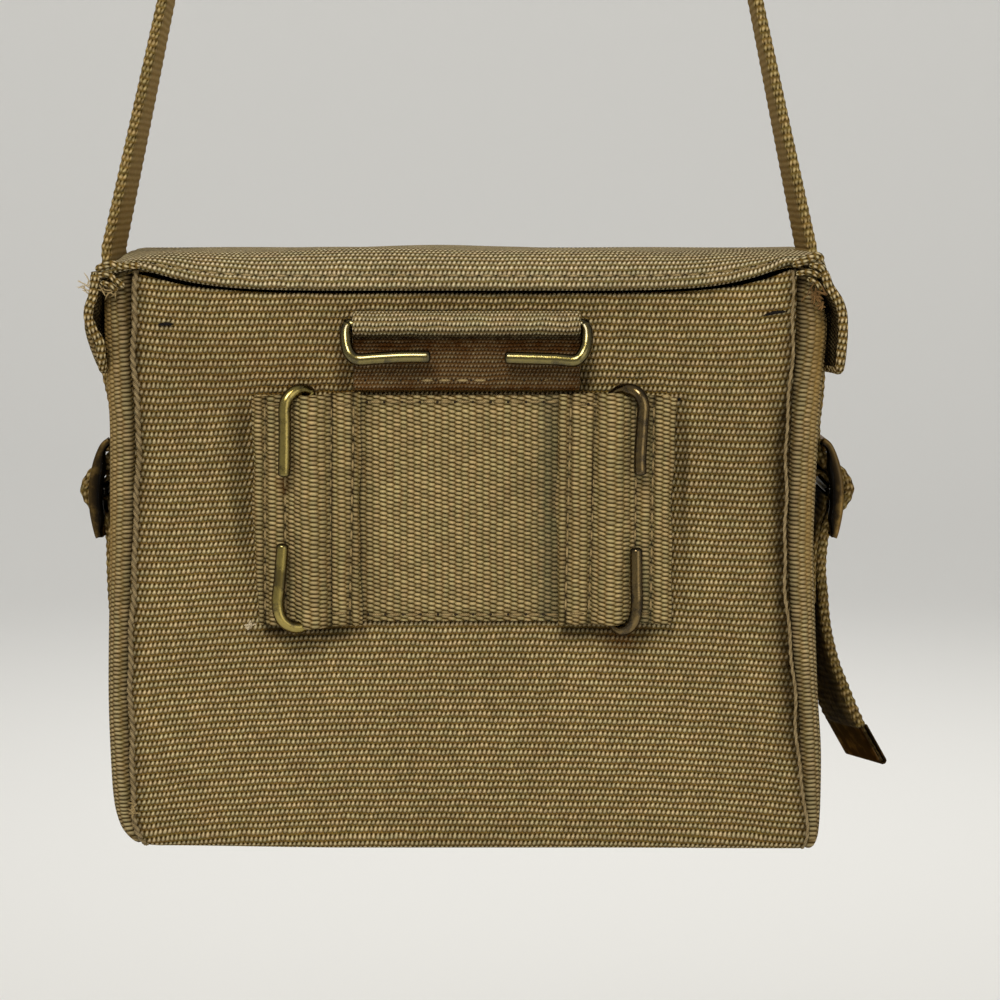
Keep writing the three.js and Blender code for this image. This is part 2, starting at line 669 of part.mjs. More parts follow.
function buckleTab() {
  const { inner, outer, bottom, neckLow, neckHigh, wall } = BUCKLE_TAB;
  const bore = BUCKLE_CENTRE_BAR.radius + GAP;
  const loop = disc(BUCKLE_CENTRE_BAR.out, BUCKLE_CENTRE_BAR.z, bore + wall);
  loop.holes.push(new THREE.Path().absarc(BUCKLE_CENTRE_BAR.out, BUCKLE_CENTRE_BAR.z, bore, 0, 2 * Math.PI));
  const strip = new THREE.Shape([
    new THREE.Vector2(inner, bottom),
    new THREE.Vector2(outer, bottom),
    new THREE.Vector2(outer, neckLow),
    sidePoint(BUCKLE_TAB_NECK.below),
    sidePoint(BUCKLE_TAB_NECK.behind),
    new THREE.Vector2(inner, neckHigh),
  ]);
  return joined([loop, strip].map((shape) => carried(shape, X_AXIS, Z_AXIS, STRAP_WIDTH)));
}

function addBuckles() {
  const [frame, tab] = [buckle(), buckleTab()];
  for (const [side, turn] of [['right', 0], ['left', Math.PI]]) {
    addPiece(`buckle_${side}`, frame.clone(), DARK_BRASS).rotation.z = turn;
    addPiece(`buckle_tab_${side}`, tab.clone(), WEBBING).rotation.z = turn;
  }
}

addCaseBody();
addLid();
addFlaps();
addBeltPanel();
addUprightHooks();
addTopHook();
addStrap();
addTips();
addBuckles();

export default bag;
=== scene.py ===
"""Looks of a canvas crossbody case with wire belt hooks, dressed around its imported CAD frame.

Sizes are millimetres in the case's own axes: x across, y from the hook side (-Y) to the far
side, z up from just above the base. Patch.build turns them into metres of the frame.
"""

import logging
from dataclasses import dataclass
from enum import Enum
from functools import partial, partialmethod
from typing import Any, Callable, NamedTuple

import bpy
import numpy as np
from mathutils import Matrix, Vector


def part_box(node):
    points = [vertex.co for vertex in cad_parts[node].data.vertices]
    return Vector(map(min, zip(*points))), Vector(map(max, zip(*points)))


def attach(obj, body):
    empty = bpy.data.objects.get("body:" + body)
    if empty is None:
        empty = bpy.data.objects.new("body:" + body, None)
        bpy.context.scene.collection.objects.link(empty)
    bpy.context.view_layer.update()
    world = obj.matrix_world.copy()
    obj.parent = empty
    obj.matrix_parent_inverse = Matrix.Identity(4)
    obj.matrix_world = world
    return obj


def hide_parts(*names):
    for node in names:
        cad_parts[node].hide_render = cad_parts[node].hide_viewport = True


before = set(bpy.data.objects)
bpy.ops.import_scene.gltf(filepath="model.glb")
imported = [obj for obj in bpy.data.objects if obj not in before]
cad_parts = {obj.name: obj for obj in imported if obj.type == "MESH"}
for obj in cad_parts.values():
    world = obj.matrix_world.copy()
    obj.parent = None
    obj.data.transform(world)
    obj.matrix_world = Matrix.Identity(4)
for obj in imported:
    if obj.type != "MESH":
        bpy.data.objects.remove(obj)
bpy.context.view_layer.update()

LOG = logging.getLogger("canvas_case")
MM = 0.001
QUARTER = np.pi / 2
X_WAY, Y_WAY, Z_WAY = np.eye(3)
HOOK_SIDE_OUT = np.array((0, -1.0, 0))
BODY = "root"
WEAVE_MAP = "weave_map"
RANDOM_SEED = 7
CASE_BASE = -2.7
CASE_ORIGIN = np.array((0.0, 0.0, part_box("body_wrap")[0].z / MM - CASE_BASE))

Array = np.ndarray
Socket = bpy.types.NodeSocket
Node = bpy.types.Node
Place = tuple[float, float, float]
Colour = Place
Points = tuple[Place, ...]
Pair = tuple[float, float]
Rows = tuple[Pair, ...]
Marks = dict["Mark", Array]


class Side(Enum):
    """Left or right end of the case, as seen from the hook side."""

    LEFT = -1
    RIGHT = 1

    @property
    def word(self) -> str:
        """Name of the side in node names."""
        return self.name.lower()

    def pick(self, left: Any, right: Any) -> Any:
        """The one of two things that belongs to this side."""
        return right if self is Side.RIGHT else left


class Mark(Enum):
    """Marks that a point of a piece can carry, each a number from 0 to 1."""

    # Soil, and painted shade: darkening that stands for shade in gaps, under and inside parts, and on sides
    # turned from the light.
    SOIL_AND_SHADE = "soil_and_shade"
    RUST = "rust"
    VERDIGRIS = "verdigris"
    WORN = "worn"


def linear(red: int, green: int, blue: int) -> Colour:
    """Scene-linear colour of a display colour in steps of 255, as the finishes give theirs."""
    shown = np.array((red, green, blue)) / 255
    low = shown / 12.92
    high = ((shown + 0.055) / 1.055) ** 2.4
    return tuple(float(value) for value in np.where(shown <= 0.04045, low, high))


def linked(name: str, data: Any) -> bpy.types.Object:
    """New object of some data, linked to the scene."""
    made = bpy.data.objects.new(name, data)
    bpy.context.scene.collection.objects.link(made)
    return made


def node_box(node: str) -> tuple[Array, Array]:
    """Lowest and highest corner of a CAD node, in case millimetres."""
    low, high = (np.array(corner) / MM - CASE_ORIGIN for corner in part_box(node))
    return low, high


def ramp(value: Array, low: float, high: float) -> Array:
    """Cubic ease from 0 at low to 1 at high, as 3 p^2 - 2 p^3 of the share p."""
    part = np.clip((value - low) / (high - low), 0, 1)
    return part * part * (3 - 2 * part)


def fade(value: Array, low: float, high: float) -> Array:
    """Cubic ease from 1 at low to 0 at high."""
    return 1 - ramp(value, low, high)


def bump(value: Array, centre: float, width: float) -> Array:
    """Bell of height 1 about centre, that falls as the square of the distance over width."""
    return np.exp(-(((value - centre) / width) ** 2))


def unit(vectors: Array) -> Array:
    """Vectors of the last axis, scaled to length 1."""
    return vectors / np.linalg.norm(vectors, axis=-1, keepdims=True)


def graded(low: float, high: float, step: float, rim: float, rim_steps: int = 5) -> Array:
    """Coordinates at even steps, drawn together towards both ends.

    Inside each rim the distance from the end is rim * (1 - cos a), a at even steps.

    Args:
        low: first coordinate.
        high: last coordinate.
        step: spacing between the rims.
        rim: width of each rim.
        rim_steps: steps inside each rim.

    Returns:
        Rising coordinates.
    """
    lead = rim * (1 - np.cos(np.linspace(0, QUARTER, rim_steps, endpoint=False)))
    middle_count = max(int((high - low - 2 * rim) / step), 1) + 1
    middle = np.linspace(low + rim, high - rim, middle_count)
    return np.concatenate([low + lead, middle, (high - lead)[::-1]])


def smooth_path(points: Array, steps: int) -> Array:
    """Catmull-Rom curve: each span blends its two ends and their neighbours by cubics.

    Args:
        points: the points that the curve goes through.
        steps: steps in each span.

    Returns:
        Points of the curve.
    """
    ahead = 2 * points[:1] - points[1:2]
    behind = 2 * points[-1:] - points[-2:-1]
    padded = np.concatenate([ahead, points, behind])[:, None, :]
    p0, p1, p2, p3 = padded[:-3], padded[1:-2], padded[2:-1], padded[3:]
    t = np.linspace(0, 1, steps, endpoint=False)[None, :, None]
    square = (2 * p0 - 5 * p1 + 4 * p2 - p3) * t**2
    cube = (3 * p1 - p0 - 3 * p2 + p3) * t**3
    curve = (2 * p1 + (p2 - p0) * t + square + cube) / 2
    return np.concatenate([curve.reshape(-1, points.shape[1]), points[-1:]])


def path_lengths(path: Array) -> Array:
    """Distance of each point along a path from its start."""
    return np.concatenate([[0.0], np.cumsum(np.linalg.norm(np.diff(path, axis=0), axis=1))])


def evenly(path: Array, step: float) -> Array:
    """The same path with points at even distances, read off along its length."""
    lengths = path_lengths(path)
    even = np.linspace(0, lengths[-1], max(int(lengths[-1] / step), 1) + 1)
    return np.stack([np.interp(even, lengths, path[:, k]) for k in range(path.shape[1])], -1)


def round_profile(sides: int, radius: float) -> Array:
    """Circle of that many points."""
    angle = np.linspace(0, 2 * np.pi, sides, endpoint=False)
    return radius * np.stack([np.cos(angle), np.sin(angle)], -1)


def bar_profile(width: float, height: float, radius: float, flats: int = 1) -> Array:
    """Rounded rectangle: quarter circles at its corners, and flats steps along the width.

    Args:
        width: size along the first axis.
        height: size along the second axis.
        radius: radius of the corners.
        flats: steps along each long side.

    Returns:
        Points of the closed profile, anticlockwise.
    """
    corner_steps = 4
    turn = np.linspace(0, QUARTER, corner_steps + 1)
    arc = radius * np.stack([np.cos(turn), np.sin(turn)], -1)
    centre = np.array((width / 2 - radius, height / 2 - radius))
    first = centre + arc
    second = centre * (-1, 1) + arc[::-1] * (-1, 1)
    along = np.linspace(first[-1], second[0], flats + 1)[1:-1]
    upper = np.concatenate([first, along, second])
    return np.concatenate([upper, -upper])


def carried(path: Array, side: Array, profile: Array) -> Array:
    """Profile carried along a path: its first axis lies on the side direction made square to
    the path, its second on the normal, tangent cross side.

    Args:
        path: (n, 3) points.
        side: direction, or (n, 3) directions, that the first axis keeps to.
        profile: (m, 2) points, or (n, m, 2) where the profile changes along the path.

    Returns:
        (n, m, 3) rings of points.
    """
    tangent = unit(np.gradient(path, axis=0))
    across = np.broadcast_to(side, path.shape)
    across = unit(across - tangent * np.sum(across * tangent, -1, keepdims=True))
    normal = np.cross(tangent, across)
    section = np.broadcast_to(profile, (len(path), *profile.shape[-2:]))
    return path[:, None] + section[..., :1] * across[:, None] + section[..., 1:] * normal[:, None]


def rim_half(distance: Array, half: Array | float) -> Array:
    """Half thickness of a wall near its rounded rim: a quarter circle of its own half."""
    inside = np.clip(distance / half, 0, 1)
    least = 0.02
    return half * np.sqrt(np.maximum(1 - (1 - inside) ** 2, least))


def grid_faces(index: Array) -> Array:
    """Corner numbers of a grid's faces: each point with its right, diagonal and upper one."""
    corners = (index[:-1, :-1], index[:-1, 1:], index[1:, 1:], index[1:, :-1])
    return np.stack(corners, -1).reshape(-1, 4)


def surface_normals(points: Array) -> Array:
    """Unit normals of a grid of points, from the differences along its two directions."""
    return unit(np.cross(np.gradient(points, axis=1), np.gradient(points, axis=0)))


class Patch:
    """A mesh in the making: closed shells with a weave map in millimetres and marks."""

    def __init__(self) -> None:
        """Start with no shell."""
        self._points: list[Array] = []
        self._faces: dict[int, list[Array]] = {4: [], 3: []}
        self._maps: dict[int, list[Array]] = {4: [], 3: []}
        self._marks: dict[Mark, list[Array]] = {mark: [] for mark in Mark}
        self._count = 0

    def _add(self, points: Array, faces: dict, maps: dict, marks: Marks) -> None:
        """Add one closed shell, turned round if its signed volume is below zero.

        Args:
            points: (n, 3) points.
            faces: face corners by corner count, quads under 4 and triangles under 3.
            maps: weave map of each face corner, by corner count.
            marks: (n,) numbers of each mark that the shell carries.
        """
        quads = faces[4]
        triangles = np.concatenate([quads[:, (0, 1, 2)], quads[:, (0, 2, 3)], faces[3]])
        a, b, c = (points[triangles[:, k]] - points[0] for k in range(3))
        way = 1 if np.sum(a * np.cross(b, c)) > 0 else -1
        for corners in (4, 3):
            self._faces[corners].append(faces[corners][:, ::way] + self._count)
            self._maps[corners].append(maps[corners][:, ::way])
        for mark in Mark:
            self._marks[mark].append(marks.get(mark, np.zeros(len(points))))
        self._points.append(points)
        self._count += len(points)

    def tube(self, rings: Array, marks: Marks | None = None) -> "Patch":
        """Add a tube through rings, closed by a fan at both ends.

        Its weave map is the length round the middle ring and along the rings' centres.

        Args:
            rings: (r, c, 3) points.
            marks: (r, c) numbers of each mark.

        Returns:
            The patch, for its build.
        """
        rows, columns = rings.shape[:2]
        around = path_lengths(np.concatenate([rings[rows // 2], rings[rows // 2, :1]]))
        along = path_lengths(rings.mean(1))[:, None]
        maps = np.stack(np.broadcast_arrays(around, along), -1)
        index = np.arange(rows * columns).reshape(rows, columns)
        index = np.pad(index, ((0, 0), (0, 1)), mode="wrap")
        map_index = np.arange(rows * (columns + 1)).reshape(rows, columns + 1)
        flat_maps = maps.reshape(-1, 2)
        poles = rows * columns + np.arange(2)[:, None] + np.zeros(columns, int)
        first = np.stack([poles[0], index[0, 1:], index[0, :-1]], -1)
        last = np.stack([poles[1], index[-1, :-1], index[-1, 1:]], -1)
        fan_maps = np.concatenate([maps[0, :-1], maps[-1, :-1]])[:, None].repeat(3, 1)
        points = np.concatenate([rings.reshape(-1, 3), rings[[0, -1]].mean(1)])
        extended = {
            mark: np.concatenate([values.ravel(), values[[0, -1]].mean(1)])
            for mark, values in (marks or {}).items()
        }
        faces = {4: grid_faces(index), 3: np.concatenate([first, last])}
        self._add(points, faces, {4: flat_maps[grid_faces(map_index)], 3: fan_maps}, extended)
        return self

    def sheet(
        self, middle: Array, half: Array, maps: Array, marks: Marks, face_shade: Pair = (0.0, 0.0)
    ) -> "Patch":
        """Add a wall: two faces, half the thickness to either side of a middle surface.

        Args:
            middle: (r, c, 3) middle surface.
            half: (r, c) half thickness.
            maps: (r, c, 2) weave map.
            marks: (r, c) numbers of each mark, soil_and_shade among them.
            face_shade: painted shade that is added on the face along the normals, and on the other one.

        Returns:
            The patch, for its build.
        """
        rows, columns = middle.shape[:2]
        offset = surface_normals(middle) * half[..., None]
        points = np.concatenate([(middle + offset).reshape(-1, 3), (middle - offset).reshape(-1, 3)])
        index = np.arange(rows * columns).reshape(rows, columns)
        edges = (index[0, :-1], index[:-1, -1], index[-1, :0:-1], index[:0:-1, 0])
        rim = np.concatenate(edges)
        onward = np.roll(rim, -1)
        size = rows * columns
        face = grid_faces(index)
        rim_faces = np.stack([onward, rim, rim + size, onward + size], -1)
        quads = np.concatenate([face, face[:, ::-1] + size, rim_faces])
        both_maps = np.concatenate([maps.reshape(-1, 2)] * 2)
        both_marks = {mark: np.tile(values.ravel(), 2) for mark, values in marks.items()}
        both_marks[Mark.SOIL_AND_SHADE] = both_marks[Mark.SOIL_AND_SHADE] + np.repeat(face_shade, size)
        no_faces = np.zeros((0, 3), int)
        no_maps = np.zeros((0, 3, 2))
        self._add(points, {4: quads, 3: no_faces}, {4: both_maps[quads], 3: no_maps}, both_marks)
        return self

    def build(self, name: str, finish: "Finish", *nodes: str) -> bpy.types.Object:
        """Make the object, in metres of the frame, riding on the body and dressed.

        Args:
            name: name of the piece.
            finish: what it is made of.
            *nodes: CAD nodes that it stands for.

        Returns:
            The new object.
        """
        points = (np.concatenate(self._points) + CASE_ORIGIN) * MM
        quads, triangles = (np.concatenate(self._faces[corners]) for corners in (4, 3))
        loops = np.concatenate([quads.ravel(), triangles.ravel()])
        sizes = np.repeat((4, 3), (len(quads), len(triangles)))
        starts = np.concatenate([[0], np.cumsum(sizes)[:-1]])
        maps = np.concatenate([np.concatenate(self._maps[c]).reshape(-1, 2) for c in (4, 3)])
        mesh = bpy.data.meshes.new(name)
        mesh.vertices.add(len(points))
        mesh.vertices.foreach_set("co", points.ravel())
        mesh.loops.add(len(loops))
        mesh.loops.foreach_set("vertex_index", loops)
        mesh.polygons.add(len(sizes))
        mesh.polygons.foreach_set("loop_start", starts)
        mesh.polygons.foreach_set("use_smooth", np.ones(len(sizes), bool))
        mesh.uv_layers.new(name=WEAVE_MAP).data.foreach_set("uv", maps.ravel())
        for mark, values in self._marks.items():
            layer = mesh.attributes.new(mark.value, "FLOAT", "POINT")
            layer.data.foreach_set("value", np.clip(np.concatenate(values), 0, 1))
        mesh.update(calc_edges=True)
        mesh.validate()
        mesh.materials.append(finish.material())
        piece = linked(name, mesh)
        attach(piece, BODY)
        if nodes:
            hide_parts(*nodes)
        LOG.info("%s: %d faces", name, len(sizes))
        return piece


class Graph:
    """Short hand for adding and joining shader nodes in one tree."""

    def __init__(self, tree: bpy.types.NodeTree) -> None:
        """Keep the tree that the nodes go into."""
        self.tree = tree

    def feed(self, socket: Socket, value: Any) -> None:
        """Join a socket to another one, or set its own value."""
        if isinstance(value, Socket):
            self.tree.links.new(value, socket)
        elif socket.type == "RGBA":
            socket.default_value = (*value, 1)
        else:
            socket.default_value = value

    def add(self, kind: str, inputs: dict | None = None, **settings: Any) -> Node:
        """Add a node, with its settings and what its inputs are fed."""
        node = self.tree.nodes.new(kind)
        for name, value in settings.items():
            setattr(node, name, value)
        self.give(node, inputs or {})
        return node

    def give(self, node: Node, inputs: dict) -> None:
        """Feed several inputs of a node by name."""
        for name, value in inputs.items():
            self.feed(node.inputs[name], value)

    def math(self, operation: str, *values: Any) -> Socket:
        """Result of a Math node on sockets or numbers."""
        inputs = dict(enumerate(values))
        return self.add("ShaderNodeMath", inputs, operation=operation).outputs[0]

    plus = partialmethod(math, "ADD")
    minus = partialmethod(math, "SUBTRACT")
    times = partialmethod(math, "MULTIPLY")
    over = partialmethod(math, "DIVIDE")
    fit = partialmethod(math, "MULTIPLY_ADD")

    def ease(self, value: Any, low: float, high: float) -> Socket:
        """Smooth step of a value from 0 at low to 1 at high."""
        inputs = {"Value": value, "From Min": low, "From Max": high}
        node = self.add("ShaderNodeMapRange", inputs, interpolation_type="SMOOTHSTEP")
        return node.outputs["Result"]

    def mix(self, factor: Any, first: Any, second: Any, blend: str = "MIX") -> Socket:
        """Colour mixed from two colours by a factor."""
        node = self.add("ShaderNodeMix", data_type="RGBA", blend_type=blend)
        for name, value in (("Factor_Float", factor), ("A_Color", first), ("B_Color", second)):
            self.feed(next(s for s in node.inputs if s.identifier == name), value)
        return next(s for s in node.outputs if s.identifier == "Result_Color")

    def shaded(self, colour: Any, shade: Any) -> Socket:
        """Colour multiplied by a number."""
        grey = self.add("ShaderNodeCombineColor", {0: shade, 1: shade, 2: shade}).outputs[0]
        return self.mix(1.0, colour, grey, "MULTIPLY")

    def group(self, tree: bpy.types.NodeTree, given: dict) -> bpy.types.bpy_prop_collection:
        """Outputs of a node group that is fed by label."""
        return self.add("ShaderNodeGroup", given, node_tree=tree).outputs

    def mark(self, mark: Mark) -> Socket:
        """The piece's own number of a mark."""
        return self.add("ShaderNodeAttribute", attribute_name=mark.value).outputs["Fac"]

    def noise(self, scale: float, detail: float, vector: Any = None) -> Socket:
        """Noise on the piece's Object coordinates in millimetres, or on another vector."""
        if vector is None:
            place = self.add("ShaderNodeTexCoord").outputs["Object"]
            inputs = {0: place, "Scale": 1 / MM}
            vector = self.add("ShaderNodeVectorMath", inputs, operation="SCALE").outputs[0]
        inputs = {"Vector": vector, "Scale": scale, "Detail": detail, "Roughness": 0.6}
        return self.add("ShaderNodeTexNoise", inputs).outputs["Fac"]


def effect(name: str, inputs: dict[str, str], outputs: dict[str, str], fill: Callable) -> Any:
    """Shader node group that several finishes share, made once.

    Args:
        name: name of the group.
        inputs: socket kind of each named input.
        outputs: socket kind of each named output.
        fill: function of the graph and the inputs by name, that gives the outputs by name.

    Returns:
        The node group.
    """
    tree = bpy.data.node_groups.get(name)
    if tree is not None:
        return tree
    tree = bpy.data.node_groups.new(name, "ShaderNodeTree")
    for way, sockets in (("INPUT", inputs), ("OUTPUT", outputs)):
        for label, kind in sockets.items():
            tree.interface.new_socket(label, in_out=way, socket_type=f"NodeSocket{kind}")
    graph = Graph(tree)
    entry = graph.add("NodeGroupInput")
    made = fill(graph, {label: entry.outputs[label] for label in inputs})
    graph.add("NodeGroupOutput", made)
    return tree


def fill_weave(graph: Graph, given: dict) -> dict:
    """Rice-grain weave: two lattices of beads, the second shifted by half a step each way.

    A crown is 1 less the squares of its two distances over its half sizes. It leans with its
    height and narrows by the taper. Holes are shaped alike. The higher lattice wins, and each
    bead draws its own tone.

    Args:
        graph: graph of the group.
        given: input sockets by name.

    Returns:
        Output sockets by name.
    """
    waver = graph.add("ShaderNodeTexNoise", {"Vector": given["Map"], "Scale": 0.22, "Detail": 3.0})
    centred = {0: waver.outputs["Color"], 1: (0.5, 0.5, 0.5)}
    away = graph.add("ShaderNodeVectorMath", centred, operation="SUBTRACT").outputs[0]
    inputs = {0: away, 1: (0.65, 0.9, 0.0), 2: given["Map"]}
    place = graph.add("ShaderNodeVectorMath", inputs, operation="MULTIPLY_ADD").outputs[0]
    sizes = {}
    for label, vector in (("place", place), *((k, given[k]) for k in ("Crown", "Hole", "Hole Size"))):
        parts = graph.add("ShaderNodeSeparateXYZ", {0: vector}).outputs
        sizes[label] = (parts["X"], parts["Y"])
    across = graph.over(sizes["place"][0], given["Bead Width"])
    pair = graph.times(given["Row Height"], 2.0)
    along = graph.over(sizes["place"][1], pair)

    def mound(first: Any, second: Any, half: tuple) -> Socket:
        """1 less the squares of two distances over two half sizes, and no less than 0."""
        one, two = (graph.over(value, size) for value, size in zip((first, second), half))
        spread = graph.fit(one, one, graph.times(two, two))
        return graph.math("MAXIMUM", graph.minus(1.0, spread), 0.0)

    crowns, holes, names = [], [], []
    for shift in (0.0, 0.5):
        column = graph.plus(across, shift)
        row = graph.plus(along, shift)
        up = graph.times(graph.minus(graph.math("FRACT", row), 0.5), 2.0)
        off = graph.minus(graph.math("FRACT", column), 0.5)
        leaned = graph.minus(off, graph.times(up, given["Lean"]))
        narrowed = graph.minus(1.0, graph.times(up, given["Taper"]))
        slim = graph.over(leaned, graph.math("MAXIMUM", narrowed, 0.1))
        crowns.append(mound(slim, up, sizes["Crown"]))
        aside = graph.minus(graph.math("ABSOLUTE", leaned), sizes["Hole"][0])
        below = graph.minus(up, sizes["Hole"][1])
        holes.append(mound(aside, below, sizes["Hole Size"]))
        cell = {"X": graph.math("FLOOR", column), "Y": graph.math("FLOOR", row), "Z": shift}
        names.append(graph.add("ShaderNodeCombineXYZ", cell).outputs[0])
    first = graph.math("GREATER_THAN", crowns[0], crowns[1])
    name = graph.mix(first, names[1], names[0])
    tone = graph.add("ShaderNodeTexWhiteNoise", {"Vector": name}, noise_dimensions="3D")
    return {
        "Crown": graph.math("MAXIMUM", *crowns),
        "Hole": graph.math("MAXIMUM", *holes),
        "Tone": tone.outputs["Value"],
    }


def fill_yarn_and_relief_shading(graph: Graph, given: dict) -> dict:
    """Weave colour: painted highlight on the beads' crowns, painted shade in the holes, each bead a little
    different.

    Olive and brown lots of yarn run along the rows, as drawn out noise.

    Args:
        graph: graph of the group.
        given: input sockets by name.

    Returns:
        Output sockets by name.
    """
    raised = graph.mix(graph.ease(given["Crown"], 0.0, 1.0), given["Middle"], given["Light"])
    whole = graph.mix(graph.ease(given["Hole"], 0.0, 0.9), raised, given["Dark"])
    inputs = {0: given["Map"], 1: (0.13, 0.62, 0.0)}
    drawn = graph.add("ShaderNodeVectorMath", inputs, operation="MULTIPLY").outputs[0]
    lot = graph.ease(graph.noise(1.0, 3.0, drawn), 0.34, 0.66)
    dyed = graph.mix(lot, (0.95, 1.0, 0.95), (1.04, 0.985, 0.95))
    toned = graph.mix(1.0, whole, dyed, "MULTIPLY")
    blotch = graph.fit(graph.noise(0.03, 4.0), 0.5, 0.75)
    bead = graph.fit(given["Tone"], 0.36, 0.83)
    return {"Colour": graph.shaded(toned, graph.times(blotch, bead))}


def fill_marks(graph: Graph, given: dict) -> dict:
    """Soil and painted shade, rust, verdigris and wear laid over a colour where the piece is marked.

    Args:
        graph: graph of the group.
        given: input sockets by name.

    Returns:
        Output sockets by name.
    """
    patchy = graph.fit(graph.noise(0.4, 3.0), 0.8, 0.6)
    layers = (
        # Soil and painted shade share this dark brown.
        (Mark.SOIL_AND_SHADE, linear(34, 23, 5), 0.88),
        (Mark.RUST, linear(104, 58, 14), 0.85),
        (Mark.VERDIGRIS, linear(62, 84, 70), 0.7),
        (Mark.WORN, linear(152, 122, 68), 0.85),
    )
    colour = given["Colour"]
    for mark, paint, most in layers:
        amount = graph.times(graph.times(graph.mark(mark), patchy), most)
        colour = graph.mix(graph.math("MINIMUM", amount, 1.0), colour, paint)
    return {"Colour": colour}


@dataclass(frozen=True)
class Finish:
    """What a piece is made of: its name and the record's material slot."""

    name: str
    slot: str

    def material(self) -> bpy.types.Material:
        """The finish's material, made the first time it is asked for."""
        made = bpy.data.materials.get(self.name)
        if made is None:
            made = bpy.data.materials.new(self.name)
            made.use_nodes = True
            made.node_tree.nodes.clear()
            graph = Graph(made.node_tree)
            shader = graph.add("ShaderNodeBsdfPrincipled")
            graph.add("ShaderNodeOutputMaterial", {"Surface": shader.outputs[0]})
            self.dress(graph, shader)
        return made

    def dress(self, graph: Graph, shader: Node) -> None:
        """Feed the shader of the finish's material."""
        raise NotImplementedError

    @staticmethod
    def raise_grain(graph: Graph, shader: Node, height: Any, deep: float, strength: float) -> None:
        """Bump the shader's normal by a height over so many millimetres."""
        inputs = {"Height": height, "Distance": deep * MM, "Strength": strength}
        graph.give(shader, {"Normal": graph.add("ShaderNodeBump", inputs).outputs[0]})

    @staticmethod
    def marked(graph: Graph, colour: Any) -> Socket:
        """Colour with the piece's marks laid over it."""
        tree = effect("marked_colour", {"Colour": "Color"}, {"Colour": "Color"}, fill_marks)
        return graph.group(tree, {"Colour": colour})["Colour"]


@dataclass(frozen=True)
class Woven(Finish):
    """Cotton webbing or canvas in a rice-grain weave."""

    # Crowns get the light colour as a painted highlight, holes the dark one as painted shade, over the
    # yarn's middle colour.
    light: Colour = (208, 189, 148)
    middle: Colour = (114, 91, 44)
    dark: Colour = (54, 38, 8)
    bead: float = 1.148
    row: float = 1.646
    lean: float = 0.3
    taper: float = 0.75
    crown: Pair = (0.47, 0.47)
    hole: Pair = (0.5, 0.26)
    hole_size: Pair = (0.2, 0.24)
    relief: float = 0.8

    def dress(self, graph: Graph, shader: Node) -> None:
        """Weave drives the colour and the bump; the map is the piece's own, in millimetres."""
        own = graph.add("ShaderNodeUVMap", uv_map=WEAVE_MAP).outputs[0]
        given = {"Map": own, "Bead Width": self.bead, "Row Height": self.row}
        given |= {"Lean": self.lean, "Taper": self.taper, "Crown": (*self.crown, 0)}
        given |= {"Hole": (*self.hole, 0), "Hole Size": (*self.hole_size, 0)}
        kinds = {label: "Float" if isinstance(v, float) else "Vector" for label, v in given.items()}
        shapes = dict.fromkeys(("Crown", "Hole", "Tone"), "Float")
        weave = graph.group(effect("rice_grain_weave", kinds, shapes, fill_weave), given)
        shown = {"Light": self.light, "Middle": self.middle, "Dark": self.dark}
        colours = {label: linear(*colour) for label, colour in shown.items()}
        kinds = {"Map": "Vector", **shapes, **dict.fromkeys(colours, "Color")}
        given = {"Map": own, **{label: weave[label] for label in shapes}, **colours}
        yarn = graph.group(effect("yarn_colour_and_relief_shading", kinds, {"Colour": "Color"}, fill_yarn_and_relief_shading), given)
        graph.give(shader, {"Base Color": self.marked(graph, yarn["Colour"])})
        fibre = graph.times(graph.noise(4.0, 2.0), 0.2)
        raised = graph.fit(weave["Hole"], -0.4, graph.plus(weave["Crown"], fibre))
        kept = graph.fit(graph.mark(Mark.WORN), -0.7, 1.0)
        self.raise_grain(graph, shader, graph.times(raised, kept), self.relief, 1.0)
        graph.give(shader, {"Roughness": graph.fit(weave["Tone"], 0.12, 0.82), "Specular IOR Level": 0.04})


@dataclass(frozen=True)
class Thread(Finish):
    """Cotton thread or cord: strands show as fine streaks along the piece's own map."""

    light: Colour = (196, 170, 120)
    dark: Colour = (112, 88, 48)
    strand: float = 0.5

    def dress(self, graph: Graph, shader: Node) -> None:
        """Streaks slanted across the map, with uneven dye over them."""
        own = graph.add("ShaderNodeUVMap", uv_map=WEAVE_MAP).outputs[0]
        parts = graph.add("ShaderNodeSeparateXYZ", {0: own})
        slant = graph.plus(parts.outputs["X"], parts.outputs["Y"])
        turn = graph.times(slant, 2 * np.pi / self.strand)
        streak = graph.fit(graph.math("SINE", turn), 0.25, 0.5)
        uneven = graph.fit(graph.noise(0.5, 3.0), 1.1, -0.55)
        level = graph.plus(streak, uneven)
        colour = graph.mix(graph.ease(level, 0.0, 1.0), linear(*self.dark), linear(*self.light))
        graph.give(shader, {"Base Color": self.marked(graph, colour)})
        self.raise_grain(graph, shader, streak, 0.08, 0.8)
        graph.give(shader, {"Roughness": graph.fit(streak, 0.15, 0.75), "Specular IOR Level": 0.2})


